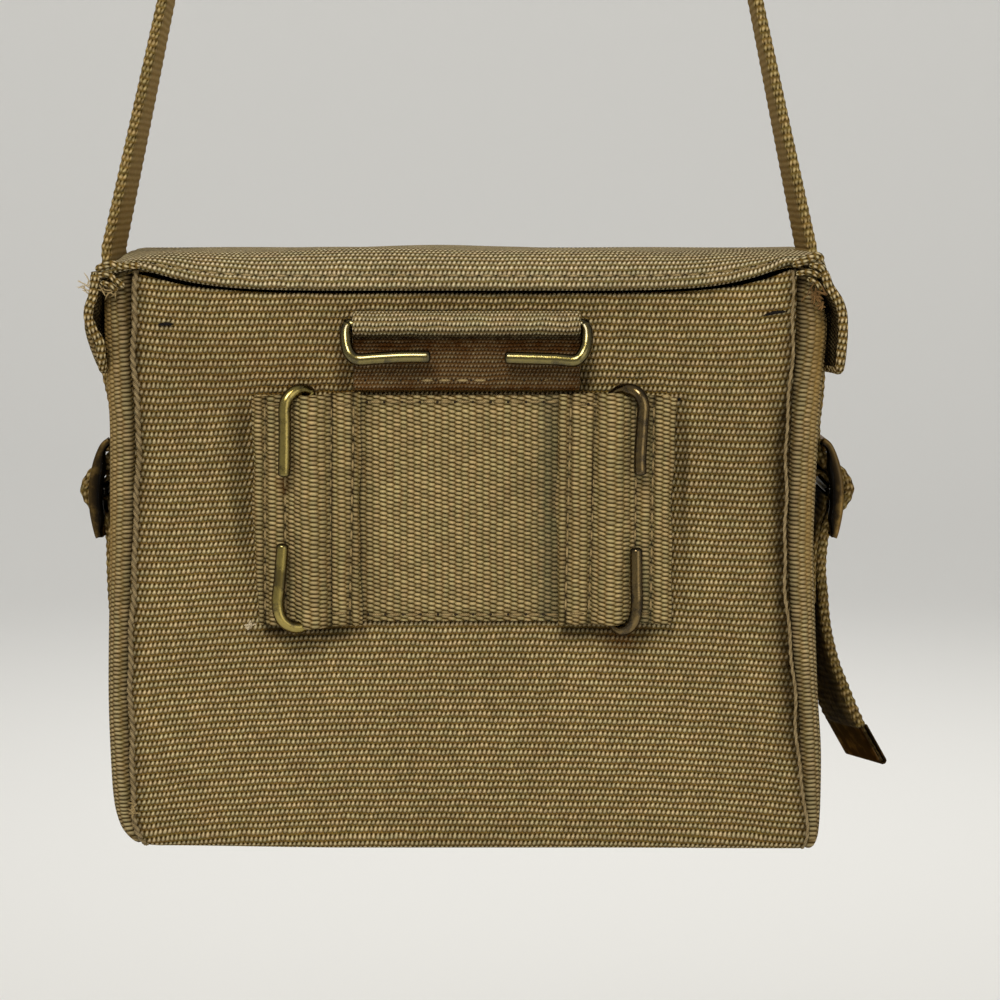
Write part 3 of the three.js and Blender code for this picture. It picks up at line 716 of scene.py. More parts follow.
@dataclass(frozen=True)
class Brass(Finish):
    """Old brass: bare metal with dull, darker tarnish in patches."""

    bare: Colour = (164, 146, 76)
    tarnish: Colour = (106, 92, 44)
    edge: Colour = (164, 146, 76)
    cover: float = 0.6
    gloss: float = 0.2
    lacquer: float = 0.6

    def dress(self, graph: Graph, shader: Node) -> None:
        """Noise on Object coordinates says where the tarnish lies and how rough it is."""
        patches = graph.ease(graph.noise(0.22, 5.0), 0.65 - 0.3 * self.cover, 0.8 - 0.3 * self.cover)
        grain = graph.noise(1.4, 4.0)
        colour = graph.mix(patches, linear(*self.bare), linear(*self.tarnish))
        # Soil and painted shade darken the metal towards black: dark cut tips, and painted shade on the
        # wires' flanks and inside the buckles.
        clear_of_soil_and_shade = graph.fit(graph.mark(Mark.SOIL_AND_SHADE), -0.85, 1.0)
        shade = graph.times(graph.fit(grain, 0.5, 0.75), clear_of_soil_and_shade)
        colour = graph.shaded(self.marked(graph, colour), shade)
        graph.give(shader, {"Base Color": colour, "Roughness": graph.fit(patches, 0.14, self.gloss)})
        self.raise_grain(graph, shader, grain, 0.05, 0.6)
        graph.give(shader, {"Metallic": 1.0, "Specular Tint": linear(*self.edge)})
        graph.give(shader, {"Coat Weight": self.lacquer, "Coat Roughness": 0.12})


TURNED = {
    "dark": (70, 52, 20), "bead": 1.105, "row": 1.71, "lean": -0.18, "taper": 0.0,
    "crown": (0.54, 0.68), "hole": (0.5, 0.0), "hole_size": (0.13, 0.5),
}
CANVAS = Woven("canvas_upright", "canvas")
LID_CANVAS = Woven("canvas_lid", "canvas", (222, 206, 170), (125, 106, 63), (62, 46, 16))
CANVAS_TURNED = Woven("canvas_turned", "canvas", (178, 159, 119), (108, 86, 40), **TURNED)
BELT_WEBBING = Woven("webbing_turned", "webbing", (183, 163, 118), (100, 78, 30), **TURNED)
STRAP_WEBBING = Woven(
    "strap_webbing", "webbing", (182, 160, 114), (124, 102, 55), (74, 57, 25), relief=0.25
)
TAB_WEBBING = Woven(
    "hook_tab_webbing", "stained_webbing", (216, 200, 164), (128, 108, 66), bead=0.94, row=1.06
)
SELVEDGE = Thread("selvedge_cord", "canvas", (168, 149, 111), (96, 77, 43))
STITCH = Thread("stitch_thread", "webbing", (172, 150, 106), (110, 90, 52))
# Dark domes of painted shade for the stitch holes.
HOLE_SHADE = Thread("stitch_hole_shade", "stained_webbing", (50, 37, 18), (24, 16, 8))
BLACK_THREAD = Thread("black_thread", "stained_webbing", (16, 10, 8), (8, 5, 4))
RUSTY_THREAD = Thread("rusty_thread", "stained_webbing", (132, 100, 58), (72, 50, 24))
LINT = Thread("lint_fibre", "webbing", (212, 198, 168), (166, 148, 116))
WIRE_BRASS = Brass("wire_brass", "brass")
WIRE_BRONZE = Brass("wire_bronze", "brass", (120, 99, 56), (72, 58, 31), gloss=0.15)
# Darker copy of the wire brass for the upper hook: painted shade.
TOP_BRASS_SHADED = Brass("top_brass_shaded", "brass", (124, 112, 56), (86, 76, 35), lacquer=1.0)
BUCKLE_BRASS = Brass(
    "buckle_brass", "dark_brass", (128, 102, 54), (52, 40, 20), cover=1.0, gloss=0.34, lacquer=0.25
)
TIP_BRASS = Brass(
    "tip_brass", "dark_brass", (84, 62, 36), (50, 37, 20), (178, 166, 136), 1.0, gloss=0.45, lacquer=0.0
)


class Level(NamedTuple):
    """Where the hook side's seams and outer edges lie at one height, as distances out."""

    height: float
    left_edge: float
    left_seam: float
    right_seam: float
    right_edge: float


LEVELS = (
    Level(-3, 85.2, 82.5, 86.6, 88.3),
    Level(3, 88.2, 84.3, 87.0, 89.1),
    Level(10, 89.7, 84.9, 86.1, 89.7),
    Level(23, 90.4, 85.2, 84.6, 89.9),
    Level(36, 90.6, 85.4, 83.8, 88.9),
    Level(49, 90.4, 84.9, 82.2, 88.4),
    Level(62, 90.0, 84.4, 81.2, 87.9),
    Level(75, 89.7, 83.6, 80.6, 87.5),
    Level(90, 89.6, 82.6, 80.5, 87.9),
    Level(106, 89.4, 82.4, 80.9, 88.7),
    Level(118, 90.0, 82.9, 81.4, 89.7),
    Level(131, 90.5, 82.8, 81.8, 90.8),
    Level(148, 90.5, 82.4, 82.0, 90.3),
)


@dataclass(frozen=True)
class CaseShape:
    """Soft shape that the case's pieces share: waist, pressed sides, lid that droops."""

    half_width: float = 89.8
    half_depth: float = 38.0
    wall: float = 2.4
    corner_radius: float = 7.5
    base_radius: float = 5.0
    waist: float = 1.3
    seam: float = 82.0
    gap: float = 0.3
    lid_top: float = 148.3
    lid_wall: float = 2.4
    lid_clearance: float = 0.65
    droop: float = 6.7
    droop_spread: float = 6.5
    pinch_left: float = 1.8
    pinch_right: float = 5.4
    pinch_low: float = 95.0
    pinch_high: float = 140.0
    pinch_flat: float = 13.5
    pinch_fade: float = 34.0

    def pinch(self, x: Array, y: Array, z: Array) -> Array:
        """How far the strap presses a side in: most between its edges and near the lid."""
        across = fade(np.abs(y), self.pinch_flat, self.pinch_fade)
        depth = np.where(np.asarray(x) < 0, self.pinch_left, self.pinch_right)
        return depth * across * ramp(z, self.pinch_low, self.pinch_high)

    def pressed(self, x: Array, y: Array, z: Array) -> Array:
        """x drawn in by the strap's pinch."""
        return x * (1 - self.pinch(x, y, z) / self.half_width)

    def settled(self, x: Array, y: Array, z: Array) -> Array:
        """x moved to where the soft case has settled, and drawn in by the pinch.

        The far ends have a waist, half a sine over the height. The hook side's follow the
        levels. Up to a seam the move grows smoothly; from there to the edge it is linear.

        Args:
            x: place across, before the move.
            y: place from near to far.
            z: height.

        Returns:
            The moved x.
        """
        x, y, z = np.broadcast_arrays(x, y, z)
        height, *columns = smooth_path(np.array(LEVELS), 6).T
        left_edge, left_seam, right_seam, right_edge = (np.interp(z, height, c) for c in columns)
        near = fade(y, -25, 10)
        drawn = self.waist * np.sin(np.pi * (z - CASE_BASE) / (self.lid_top - CASE_BASE))
        far_edge = self.half_width - drawn
        seam = self.seam + near * (np.where(x < 0, left_seam, right_seam) - self.seam)
        edge = far_edge + near * (np.where(x < 0, left_edge, right_edge) - far_edge)
        size = np.abs(x)
        inside = size + (seam - self.seam) * ramp(size, 25, self.seam)
        beyond = seam + (size - self.seam) * (edge - seam) / (self.half_width - self.seam)
        moved = np.sign(x) * np.where(size < self.seam, inside, beyond)
        return self.pressed(moved, y, z)

    def lifted(self, x: Array, z: Array) -> Array:
        """z with the base's left end raised, most at its corner, fading up the wall."""
        raised = 0.6 * ramp(-x, 30, 76) + 1.1 * ramp(-x, 77, 87)
        return z + (raised - 0.2 * ramp(x, 30, 80)) * fade(z, CASE_BASE, 14)

    def row_shift(self, x: Array, z: Array) -> Array:
        """How far the weave's rows hang low towards the seams: the cube of the distance out,
        less its ninth power higher up, where the rows turn up again beside the seams.
        """
        out = np.abs(x) / self.seam
        sag = np.where(x < 0, 3.6, 2.9) * (1 - 0.7 * ramp(z, 105, 132))
        return sag * out**3 - 1.9 * ramp(z, 20, 80) * out**9

    def droop_at(self, x: Array) -> Array:
        """How far the lid's near edge droops: all across its middle, not at its corners."""
        return self.droop * np.maximum(0, 1 - np.abs(x / self.seam) ** self.droop_spread)

    def wall_top(self, x: Array, near: Array) -> Array:
        """Height of the walls' upper edge: just under the lid, drooping where near is 1."""
        room = self.lid_clearance + near * (0.4 * ramp(-x, 60, 80) + ramp(-x, 74, 84))
        return self.lid_top - near * self.droop_at(x) - self.lid_wall - room

    def relief(self, x: Array, z: Array) -> Array:
        """Slight unevenness of the hook side, a sum of long waves that fades at the seams."""
        waves = np.sin(x / 23 + 0.6) * np.sin(z / 31 + 0.4) + 0.6 * np.sin(x / 13 - z / 17)
        inside = ramp(self.seam - np.abs(x), 0, 25)
        return 0.32 * waves * inside

    def hook_side(self, x: Array, z: Array) -> Array:
        """y of the hook side's outer face."""
        return -self.half_depth - self.relief(x, z)


SHAPE = CaseShape()


@dataclass(frozen=True)
class CaseBody:
    """Canvas wrap (hook side, base, far side), two side panels and the cords along seams."""

    step: float = 1.7
    wrap_curl: float = 0.7
    panel_curl: float = 2.6
    curl_width: float = 2.8
    cord_step: float = 0.4
    cord_out: float = 0.25
    cord_inset: float = 0.9
    lid_room: float = 2.6

    def build(self) -> None:
        """Build every piece of the body."""
        self.build_wrap()
        for side in Side:
            self.build_side(side)
            self.build_cord(side)

    def turned_in(self, distance: Array, curl: float) -> Array:
        """How far a panel's edge turns in at a seam: a quarter circle over the curl width."""
        near = np.clip(1 - distance / self.curl_width, 0, 1)
        return curl * (1 - np.sqrt(1 - near**2))

    def wrap_section(self) -> tuple[Array, Array, Array]:
        """Section of the wrap from the hook side's top round the base to the far side's top.

        Returns:
            y, z and the share of the wall's own top by which each point moves with it.
        """
        depth = SHAPE.half_depth - SHAPE.wall / 2
        radius = SHAPE.base_radius - SHAPE.wall / 2
        low = CASE_BASE + SHAPE.base_radius
        wall_rows = int(SHAPE.lid_top / self.step)
        rise = np.linspace(0, 1, wall_rows)
        turn = np.linspace(0, QUARTER, 7)[1:-1]
        base = np.arange(-depth + radius, depth - radius, 2 * self.step)
        near_y = np.concatenate([np.full(wall_rows, -depth), -depth + radius * (1 - np.cos(turn))])
        near_z = np.concatenate([np.full(wall_rows, low), low - radius * np.sin(turn)])
        y = np.concatenate([near_y, base, -near_y[::-1]])
        z = np.concatenate([near_z, np.full(len(base), low - radius), near_z[::-1]])
        flat = np.zeros(len(base) + 2 * len(turn))
        return y, z, np.concatenate([rise[::-1], flat, rise])

    def build_wrap(self) -> None:
        """Wrap: its section carried across x, top edge under the lid, seam edges turned in."""
        edge = SHAPE.seam - SHAPE.gap / 2
        x = graded(-edge, edge, self.step, self.curl_width)[None, :]
        section_y, section_z, rise = (column[:, None] for column in self.wrap_section())
        hook_side = (section_y < 0) & (rise > 0)
        top = SHAPE.wall_top(x, section_y < 0)
        y = section_y + 0 * x
        z = section_z + rise * (top - section_z)
        turned = self.turned_in(edge - np.abs(x), self.wrap_curl)
        round_share = (z - CASE_BASE) / SHAPE.base_radius
        on_wall = np.where(rise > 0, 1, round_share)
        inward = np.stack([0 * y, -section_y / SHAPE.half_depth * on_wall, 1 - on_wall], -1)
        swell = np.where(rise > 0, SHAPE.relief(x, z), 0)
        middle = np.stack([SHAPE.settled(x, y, z), y, SHAPE.lifted(x, z)], -1)
        middle += inward * (turned - swell)[..., None]
        section = np.concatenate([section_y, section_z + rise * SHAPE.lid_top], -1)
        length = path_lengths(section)[:, None]
        foot = length[np.argmin(rise[:, 0])]
        low = CASE_BASE + SHAPE.base_radius
        v = np.where(hook_side, z, low + foot - length)
        v = v + SHAPE.row_shift(x, np.where(hook_side, z, low))
        from_top = np.where(rise > 0, top - z, self.step) + 0.3
        half = rim_half(np.minimum(edge - np.abs(x), from_top), SHAPE.wall / 2)
        maps = np.stack([middle[..., 0], v], -1)
        sheet = Patch().sheet(middle, half, maps, self.wrap_marks(middle[..., 0], z, hook_side))
        sheet.build("canvas_wrap", CANVAS, "body_wrap")

    def wrap_marks(self, x: Array, z: Array, hook_side: Array) -> Marks:
        """Soil along the seams and in the upper corners, painted shade under the lid, along the right seam
        and under and beside the tabs, a streak beside each tab, stains by hooks.

        Args:
            x: (r, c) places across.
            z: (r, c) heights.
            hook_side: (r, 1) whether a row lies on the hook side.

        Returns:
            Numbers of each mark.
        """
        from_left, from_right = x - x.min(1, keepdims=True), x.max(1, keepdims=True) - x
        seam = 0.7 * bump(np.minimum(from_left, from_right), 1.2, 1.3) + 0 * z
        # Painted shade: a dark band along the right seam and a broad darkening towards the right end.
        shade_right = 0.68 * bump(from_right, 1.5, 3.4) + 0.12 * ramp(x, 48, 70)
        shade_right = shade_right * ramp(z, 14, 34) * fade(z, 100, 122)
        # Painted shade under the middle of the lid.
        shade_under_lid = 0.2 * ramp(z + SHAPE.droop_at(x), 128, 146) * fade(np.abs(x), 35, 60)
        corner = 0.16 * ramp(np.abs(x), 15, 60) * ramp(z, 70, 110) * fade(z, 122, 134)
        low_edge = 0.18 * fade(z, CASE_BASE, 9)
        # Darker stripe along the right hook tab's outer edge.
        stripe_right = 0.7 * bump(x, 54.0, 1.2) * bump(z, 90, 28)
        below_hook = 0.9 * bump(x, -48.2, 2.2) * bump(z, 55, 1.3)
        streak_left = 0.45 * bump(x, -56, 3) * ramp(z, 66, 80) * fade(z, 105, 116)
        # Painted shadow along the top tab's lower edge.
        shade_under_tab = 0.8 * bump(z, 114.4, 0.8) * fade(np.abs(x), 26, 30)
        # Painted shade and soil beside the top tab's ends.
        soil_and_shade_beside_tab = bump(x, -30.5, 1.5) + bump(x, 29.5, 1.5)
        soil_and_shade_beside_tab = 0.7 * soil_and_shade_beside_tab * ramp(z, 112, 115) * fade(z, 126, 130)
        # Painted shade under the hook tabs' lower ends.
        shade_below_tabs = 2 - ramp(np.abs(x - 35), 9, 14) - ramp(np.abs(x + 40), 8, 13)
        shade_below_tabs = 0.85 * bump(z, 53.9, 2.2) * shade_below_tabs
        streaks_and_shade = stripe_right + streak_left + below_hook + shade_under_tab + soil_and_shade_beside_tab + shade_below_tabs
        soil_and_shade = seam + hook_side * (shade_right + shade_under_lid + corner + low_edge + streaks_and_shade)
        drip = 0.2 * bump(x, -40, 30) * bump(z, 118, 10) + 0.5 * bump(x, 39, 4) * bump(z, 51.5, 3)
        return {Mark.SOIL_AND_SHADE: soil_and_shade, Mark.RUST: drip * hook_side}

    def dented(self, side: Side, y: Array, z: Array) -> Array:
        """How far a side panel is pressed in under the buckle tab and strap, and under the flap."""
        strap, flap, corner = side.pick((1.45, 0.7, 0.0), (0.4, 1.45, 1.3))
        under_strap = fade(np.abs(y), 13, 20) * ramp(z, 8, 22)
        under_flap = ramp(z, 110, 121)
        inner = fade(np.abs(y), 28.5, 32)
        at_corner = corner * (1 - inner) * ramp(z, 129, 138)
        return strap * under_strap * (1 - under_flap) + flap * inner * under_flap + at_corner

    def build_side(self, side: Side) -> None:
        """Side panel: rows of plan curves, each a corner, a straight and a corner.

        Rows keep the corners' centres. The radius is full up the wall, and shrinks round the
        base's edge to the seam under it.
        """
        centre_x = SHAPE.half_width - SHAPE.corner_radius
        centre_y = SHAPE.half_depth - SHAPE.corner_radius
        full = SHAPE.corner_radius - SHAPE.wall / 2
        base = SHAPE.base_radius - SHAPE.wall / 2
        start = SHAPE.seam + SHAPE.gap / 2 - centre_x
        least = 0.8
        turn = np.linspace(QUARTER, 0, 8)
        wall_rows = int(SHAPE.lid_top / self.step)
        rounds = full - base * (1 - np.sin(turn[1:]))
        radius = np.concatenate([np.full(wall_rows, full), rounds, [least]])
        floor = CASE_BASE + SHAPE.wall / 2
        wall_top = SHAPE.wall_top(np.array(SHAPE.half_width), np.array(0.0))
        walls = np.linspace(wall_top, CASE_BASE + SHAPE.base_radius, wall_rows)
        z = np.concatenate([walls, floor + base * (1 - np.cos(turn[1:-1])), [floor, floor]])
        radius, z = radius[:, None], z[:, None]
        first = np.arcsin(np.clip(start / radius, -0.9, 0.9))
        arc = (1 - np.cos(np.linspace(0, QUARTER, 14))) ** 0.8
        angle = first + (QUARTER - first) * arc[None, :]
        straight = np.linspace(-centre_y, centre_y, 44)[None, 1:-1]
        near_x, near_y = centre_x + radius * np.sin(angle), -centre_y - radius * np.cos(angle)
        side_x = centre_x + radius + 0 * straight
        x = np.concatenate([near_x, side_x, near_x[:, ::-1]], 1)
        y = np.concatenate([near_y, straight + 0 * radius, -near_y[:, ::-1]], 1)
        z = z + 0 * x
        around = path_lengths(np.stack([x[0], y[0]], -1))[None, :]
        from_seam = np.minimum(around, around[:, -1:] - around)
        outward = unit(np.stack([x - centre_x, y - np.clip(y, -centre_y, centre_y)], -1))
        turned = self.turned_in(from_seam, self.panel_curl)[..., None]
        x, y = np.moveaxis(np.stack([x, y], -1) - outward * turned, -1, 0)
        across = side.value * x
        behind = fade(np.abs(y), 29, 34)
        z = z - self.lid_room * behind * ramp(z, 128, 146)
        dent = side.value * self.dented(side, y, z) * ramp(from_seam, 2, 8)
        middle = np.stack([SHAPE.settled(across, y, z) - dent, y, SHAPE.lifted(across, z)], -1)
        half = rim_half(from_seam + 0 * z, SHAPE.wall / 2)
        steps = np.linalg.norm(np.diff(middle, axis=1), axis=-1)
        along = np.cumsum(np.pad(steps, ((0, 0), (1, 0))), 1)
        along = along - along[:, along.shape[1] // 2, None]
        soil_and_shade = bump(from_seam, 0.2, 1.6) + 0.25 * ramp(z, 110, 146)
        patchy = 0.8 + 0.2 * np.sin(z / 9)
        zone = bump(from_seam, *side.pick((7.4, 3.2), (5.4, 2.0)))
        worn = zone * ramp(z, 40, 85) * patchy
        marks = {Mark.SOIL_AND_SHADE: soil_and_shade, Mark.WORN: worn}
        sheet = Patch().sheet(middle, half, np.stack([z, along], -1), marks)
        sheet.build(f"side_canvas_{side.word}", CANVAS_TURNED, f"side_panel_{side.word}")

    def build_cord(self, side: Side) -> None:
        """Two-ply cord along a seam: an oval section that turns once in two pitches."""
        depth = SHAPE.half_depth - self.cord_out
        radius = SHAPE.base_radius
        floor = CASE_BASE + self.cord_out
        top = SHAPE.wall_top(np.array(SHAPE.seam), np.array(0.0)) - 1
        turn = np.linspace(0, QUARTER, 9)
        near = np.stack([-depth + radius * (1 - np.cos(turn)), floor + radius * (1 - np.sin(turn))], -1)
        far = near[::-1] * (-1, 1)
        flat = evenly(np.concatenate([[[-depth, top]], near, far, [[depth, top]]]), self.cord_step)
        wander = 0.25 * np.sin(flat[:, 1] / 6.1) + 0.2 * np.sin(flat[:, 1] / 2.7)
        x = side.value * (SHAPE.seam - self.cord_inset + wander)
        path = np.stack([SHAPE.settled(x, *flat.T), flat[:, 0], SHAPE.lifted(x, flat[:, 1])], -1)
        radius, lobes, pitch = side.pick((0.63, 0.4, 2.15), (0.42, 0.22, 2.6))
        patch = Patch()
        twisted(patch, path, radius, lobes, side.value * pitch)
        patch.build(f"seam_cord_{side.word}", SELVEDGE)


def twisted(patch: Patch, path: Array, radius: float, lobes: float, pitch: float) -> None:
    """Add a two-ply cord along a path: r = radius * (1 + lobes * cos 2(a - s pi / pitch)).

    Args:
        patch: patch that the cord is added to.
        path: (n, 3) points.
        radius: mean radius.
        lobes: how far the two plies stand out, as a share of the radius.
        pitch: length in which a ply takes the other's place; below zero it twists back.
    """
    sides = 10
    along = path_lengths(path)
    angle = np.linspace(0, 2 * np.pi, sides, endpoint=False)[None, :]
    lobe = np.cos(2 * angle - 2 * np.pi * along[:, None] / pitch)
    reach = radius * (1 + lobes * lobe)
    profile = np.stack([reach * np.cos(angle), reach * np.sin(angle)], -1)
    rings = carried(path, X_WAY, profile)
    # Painted shade in the grooves between the plies.
    patch.tube(rings, {Mark.SOIL_AND_SHADE: 2 * lobes * ramp(-lobe, 0.1, 1.0)})


def rolled(patch: Patch, path: Array, side: Array, radius: float) -> None:
    """Add a round roll of woven cloth along a path, closed and rounded at both ends.

    Args:
        patch: patch that the roll is added to.
        path: (n, 3) points.
        side: direction that the roll's section keeps to.
        radius: radius of the roll.
    """
    sides = 14
    along = path_lengths(path)
    scale = rim_half(np.minimum(along, along[-1] - along) + 0.1, radius)
    rings = carried(path, side, round_profile(sides, 1.0)[None] * scale[:, None, None])
    patch.tube(rings)


def strand(patch: Patch, points: Array, radius: float) -> None:
    """Add a loose thread through a few points: five-sided rings, finer at both ends.

    Args:
        patch: patch that the thread is added to.
        points: (n, 3) points.
        radius: radius at the middle.
    """
    sides = 5
    path = smooth_path(points, 2)
    share = np.linspace(-1, 1, len(path))
    scale = radius * np.sqrt(1.05 - share**4)
    lean = np.array((0.3, 1.0, 0.2))
    patch.tube(carried(path, lean, round_profile(sides, 1.0)[None] * scale[:, None, None]))


class FlapCut(NamedTuple):
    """Height of a flap's lower edge, and the radius of its lower corners."""

    bottom: float
    corner: float


@dataclass(frozen=True)
class Lid:
    """Lid top with its turned-down edges, and the three flaps that hang from it."""

    half_width: float = 92.4
    half_depth: float = 41.0
    corner_radius: float = 5.0
    edge_radius: float = 3.4
    lip: float = 4.2
    hem: float = 3.5
    hem_bulge: float = 0.3
    bend_from: float = -28.0
    bend_depth: float = 10.6
    bend_length: float = 14.5
    bend_least: float = 1.7
    arch: float = 0.7
    left_sag: float = 2.4
    step: float = 1.6
    flap_wall: float = 2.4
    flap_half_depth: float = 39.3
    flap_half_width: float = 86.0
    front_cut: FlapCut = FlapCut(117.0, 4.5)
    left_cut: FlapCut = FlapCut(119.4, 7.0)
    right_cut: FlapCut = FlapCut(119.4, 4.5)
    flare_from: float = 16.0
    flare_downs: tuple[float, ...] = (0, 0.18, 0.35, 0.51, 0.66, 0.83, 1)
    flare_left: tuple[float, ...] = (91.2, 91.3, 91.9, 92.9, 93.0, 91.9, 90.2)
    flare_right: tuple[float, ...] = (88.3, 89.6, 91.9, 93.0, 93.2, 93.2, 92.8)
    near_inset: float = 2.4
    roll_radius: float = 1.2
    gathers: tuple[tuple[float, Points], ...] = (
        (0.9, ((-91, -39.3, 144.4), (-87.6, -39.9, 145.8), (-85, -39.6, 145.3), (-80, -40, 145.4))),
        (0.75, ((-91.3, -39.3, 142.8), (-88, -39.8, 143.2), (-86, -39.6, 141.6), (-84, -39.6, 140.2))),
        (0.7, ((-89.8, -39.6, 141.2), (-87.4, -39.9, 140.6), (-85.8, -39.7, 139.2))),
        (1.0, ((80.5, -40, 145.4), (84, -40, 147.0), (86.6, -39.8, 147.8), (87.8, -39.4, 146.4))),
        (0.85, ((84.6, -39.6, 145.6), (87.4, -39.9, 144.9), (88.6, -39.4, 143.2), (89.4, -39, 141.4))),
        (0.7, ((81.4, -39.6, 143.3), (84.5, -39.9, 143.9), (87.5, -39.6, 142.8))),
        (0.6, ((84.2, -39.7, 142.2), (86.4, -39.9, 141.2), (87.6, -39.7, 139.4))),
    )

    def build(self) -> None:
        """Build every piece of the lid."""
        self.build_top()
        self.build_stitches()
        self.build_gathers()
        self.build_flaps()
        self.build_stud()

    @property
    def flap_top(self) -> float:
        """Height at which the flaps meet the lid's lip."""
        return SHAPE.lid_top - self.lip - SHAPE.gap

    def edge_profile(self, beyond: Array) -> tuple[Array, Array]:
        """Reach and drop of the lid's middle surface past the flat, by length along it.

        It runs flat, round a quarter circle, and then straight down.

        Args:
            beyond: length along the surface from the corners' centres.

        Returns:
            How far out and how far down it is.
        """
        radius = self.edge_radius - SHAPE.lid_wall / 2
        flat = self.corner_radius - self.edge_radius
        angle = np.clip((beyond - flat) / radius, 0, QUARTER)
        straight = np.maximum(beyond - flat - radius * QUARTER, 0)
        reach = np.minimum(beyond, flat) + radius * np.sin(angle)
        return reach, radius * (1 - np.cos(angle)) + straight

    @property
    def edge_length(self) -> float:
        """Length along the middle surface from the corners' centres to the lip's end."""
        radius = self.edge_radius - SHAPE.lid_wall / 2
        return self.corner_radius - self.edge_radius + radius * QUARTER + self.lip - self.edge_radius

    def top_surface(self, u: Array, v: Array) -> tuple[Array, Array]:
        """Middle surface of the lid over its unfolded plan.

        At the ends and the far edge a point keeps its direction from the corners' centres, and
        its larger overshoot is its length along the edge's profile. The near edge bends down
        over a quarter ellipse as high as the droop.

        Args:
            u: unfolded place across.
            v: unfolded place from near to far.

        Returns:
            Points, and their length past the corners' centres.
        """
        plan = np.stack(np.broadcast_arrays(u, v), -1)
        inner = np.array((self.half_width, self.half_depth)) - self.corner_radius
        over = np.sign(plan) * np.maximum(np.abs(plan) - inner, 0)
        over[..., 1] = np.maximum(over[..., 1], 0)
        beyond = np.abs(over).max(-1)
        size = np.maximum(np.linalg.norm(over, axis=-1), 1e-9)
        reach, drop = self.edge_profile(beyond)
        place = np.clip(plan, -inner, inner) + over * (reach / size)[..., None]
        x = place[..., 0]
        turn = np.clip((self.bend_from - plan[..., 1]) / self.bend_length, 0, 1) * QUARTER
        y = np.maximum(place[..., 1], self.bend_from) - self.bend_depth * np.sin(turn)
        bent = (self.bend_least + SHAPE.droop_at(x)) * (1 - np.cos(turn))
        x = self.drawn_in(x * (1 - 0.012 * np.sin(turn)), y)
        arch = self.arch * np.cos(np.clip((y + 20) / 60, -1, 1) * QUARTER) ** 2
        arch = arch * fade(np.abs(x), 66, 90)
        arch = arch - self.left_sag * ramp(-x, 74, 92) * ramp(-y, -10, 30)
        waves = 0.35 * np.sin(x / 19 + 2.2) + 0.25 * np.sin(x / 9 + y / 15)
        z = SHAPE.lid_top - SHAPE.lid_wall / 2 + arch - bent - drop
        z = z + waves * fade(beyond, 0, 3) * np.cos(turn)
        return np.stack([SHAPE.pressed(x, y, z), y, z], -1), beyond

    def drawn_in(self, x: Array, y: Array) -> Array:
        """x with the near right corner drawn in, growing along both directions to it."""
        return x - self.near_inset * ramp(x, 40, self.half_width) * ramp(-y, 0, 34)

    def build_top(self) -> None:
        """Lid top: one wall over the unfolded plan, thicker in its near hem, with a sewn dip."""
        length = self.edge_length
        end_x = self.half_width - self.corner_radius + length
        end_y = self.half_depth - self.corner_radius + length
        near_end = self.bend_from - self.bend_length
        u = graded(-end_x, end_x, self.step, length, 10)[None, :]
        v = graded(near_end, end_y, self.step, self.bend_length, 24)[:, None]
        middle, beyond = self.top_surface(u, v)
        from_near = v - near_end + 0 * u
        hem = fade(from_near, self.hem - 0.5, self.hem + 0.8)
        half = SHAPE.lid_wall / 2 + self.hem_bulge * hem - 0.4 * bump(from_near, self.hem, 0.7)
        half = rim_half(np.minimum(length - beyond, from_near + 0.2), half)
        outer = middle + surface_normals(middle) * half[..., None]
        steps = np.linalg.norm(np.diff(outer, axis=0), axis=-1)
        along = np.cumsum(np.pad(steps, ((1, 0), (0, 0))), 0)
        soil_and_shade = 0.35 * bump(from_near, self.hem, 0.7) + 0.25 * ramp(beyond, 4.2, length)
        soil_and_shade = soil_and_shade + 0.5 * bump(from_near, 0, 0.8)
        sheet = Patch().sheet(middle, half, np.stack([u + 0 * along, along], -1), {Mark.SOIL_AND_SHADE: soil_and_shade})
        sheet.build("lid_canvas", LID_CANVAS, "lid_top")

    def build_stitches(self) -> None:
        """Stitches along the near hem, laid on the lid's outer face."""
        line = np.linspace(-78, 78, 200)[None, :]
        row = self.bend_from - self.bend_length + self.hem + np.array((-0.2, 0, 0.2))[:, None]
        middle, _ = self.top_surface(line, row)
        outward = surface_normals(middle)[1]
        outward = outward * np.sign(outward[:, 2:])
        sewing = Sewing()
        sewing.run(middle[1] + outward * (SHAPE.lid_wall / 2 - 0.3), outward.mean(0))
        sewing.build("lid")

    def build_gathers(self) -> None:
        """Short rolls of canvas that bunch up where the near hem ends at the two corners."""
        patch = Patch()
        for radius, points in self.gathers:
            path = evenly(smooth_path(np.array(points), 8), 0.5)
            rolled(patch, path, Y_WAY, radius)
        patch.build("corner_gathers", CANVAS)

    def flap_reach(self, cut: FlapCut, along: Array, half_length: float) -> Array:
        """Length down to a flap's lower edge: full, less a quarter circle at each end."""
        beyond = np.maximum(0, np.abs(along) - (half_length - cut.corner)) / cut.corner
        rounding = cut.corner * (1 - np.sqrt(np.maximum(0, 1 - beyond**2)))
        return self.flap_top - cut.bottom - rounding

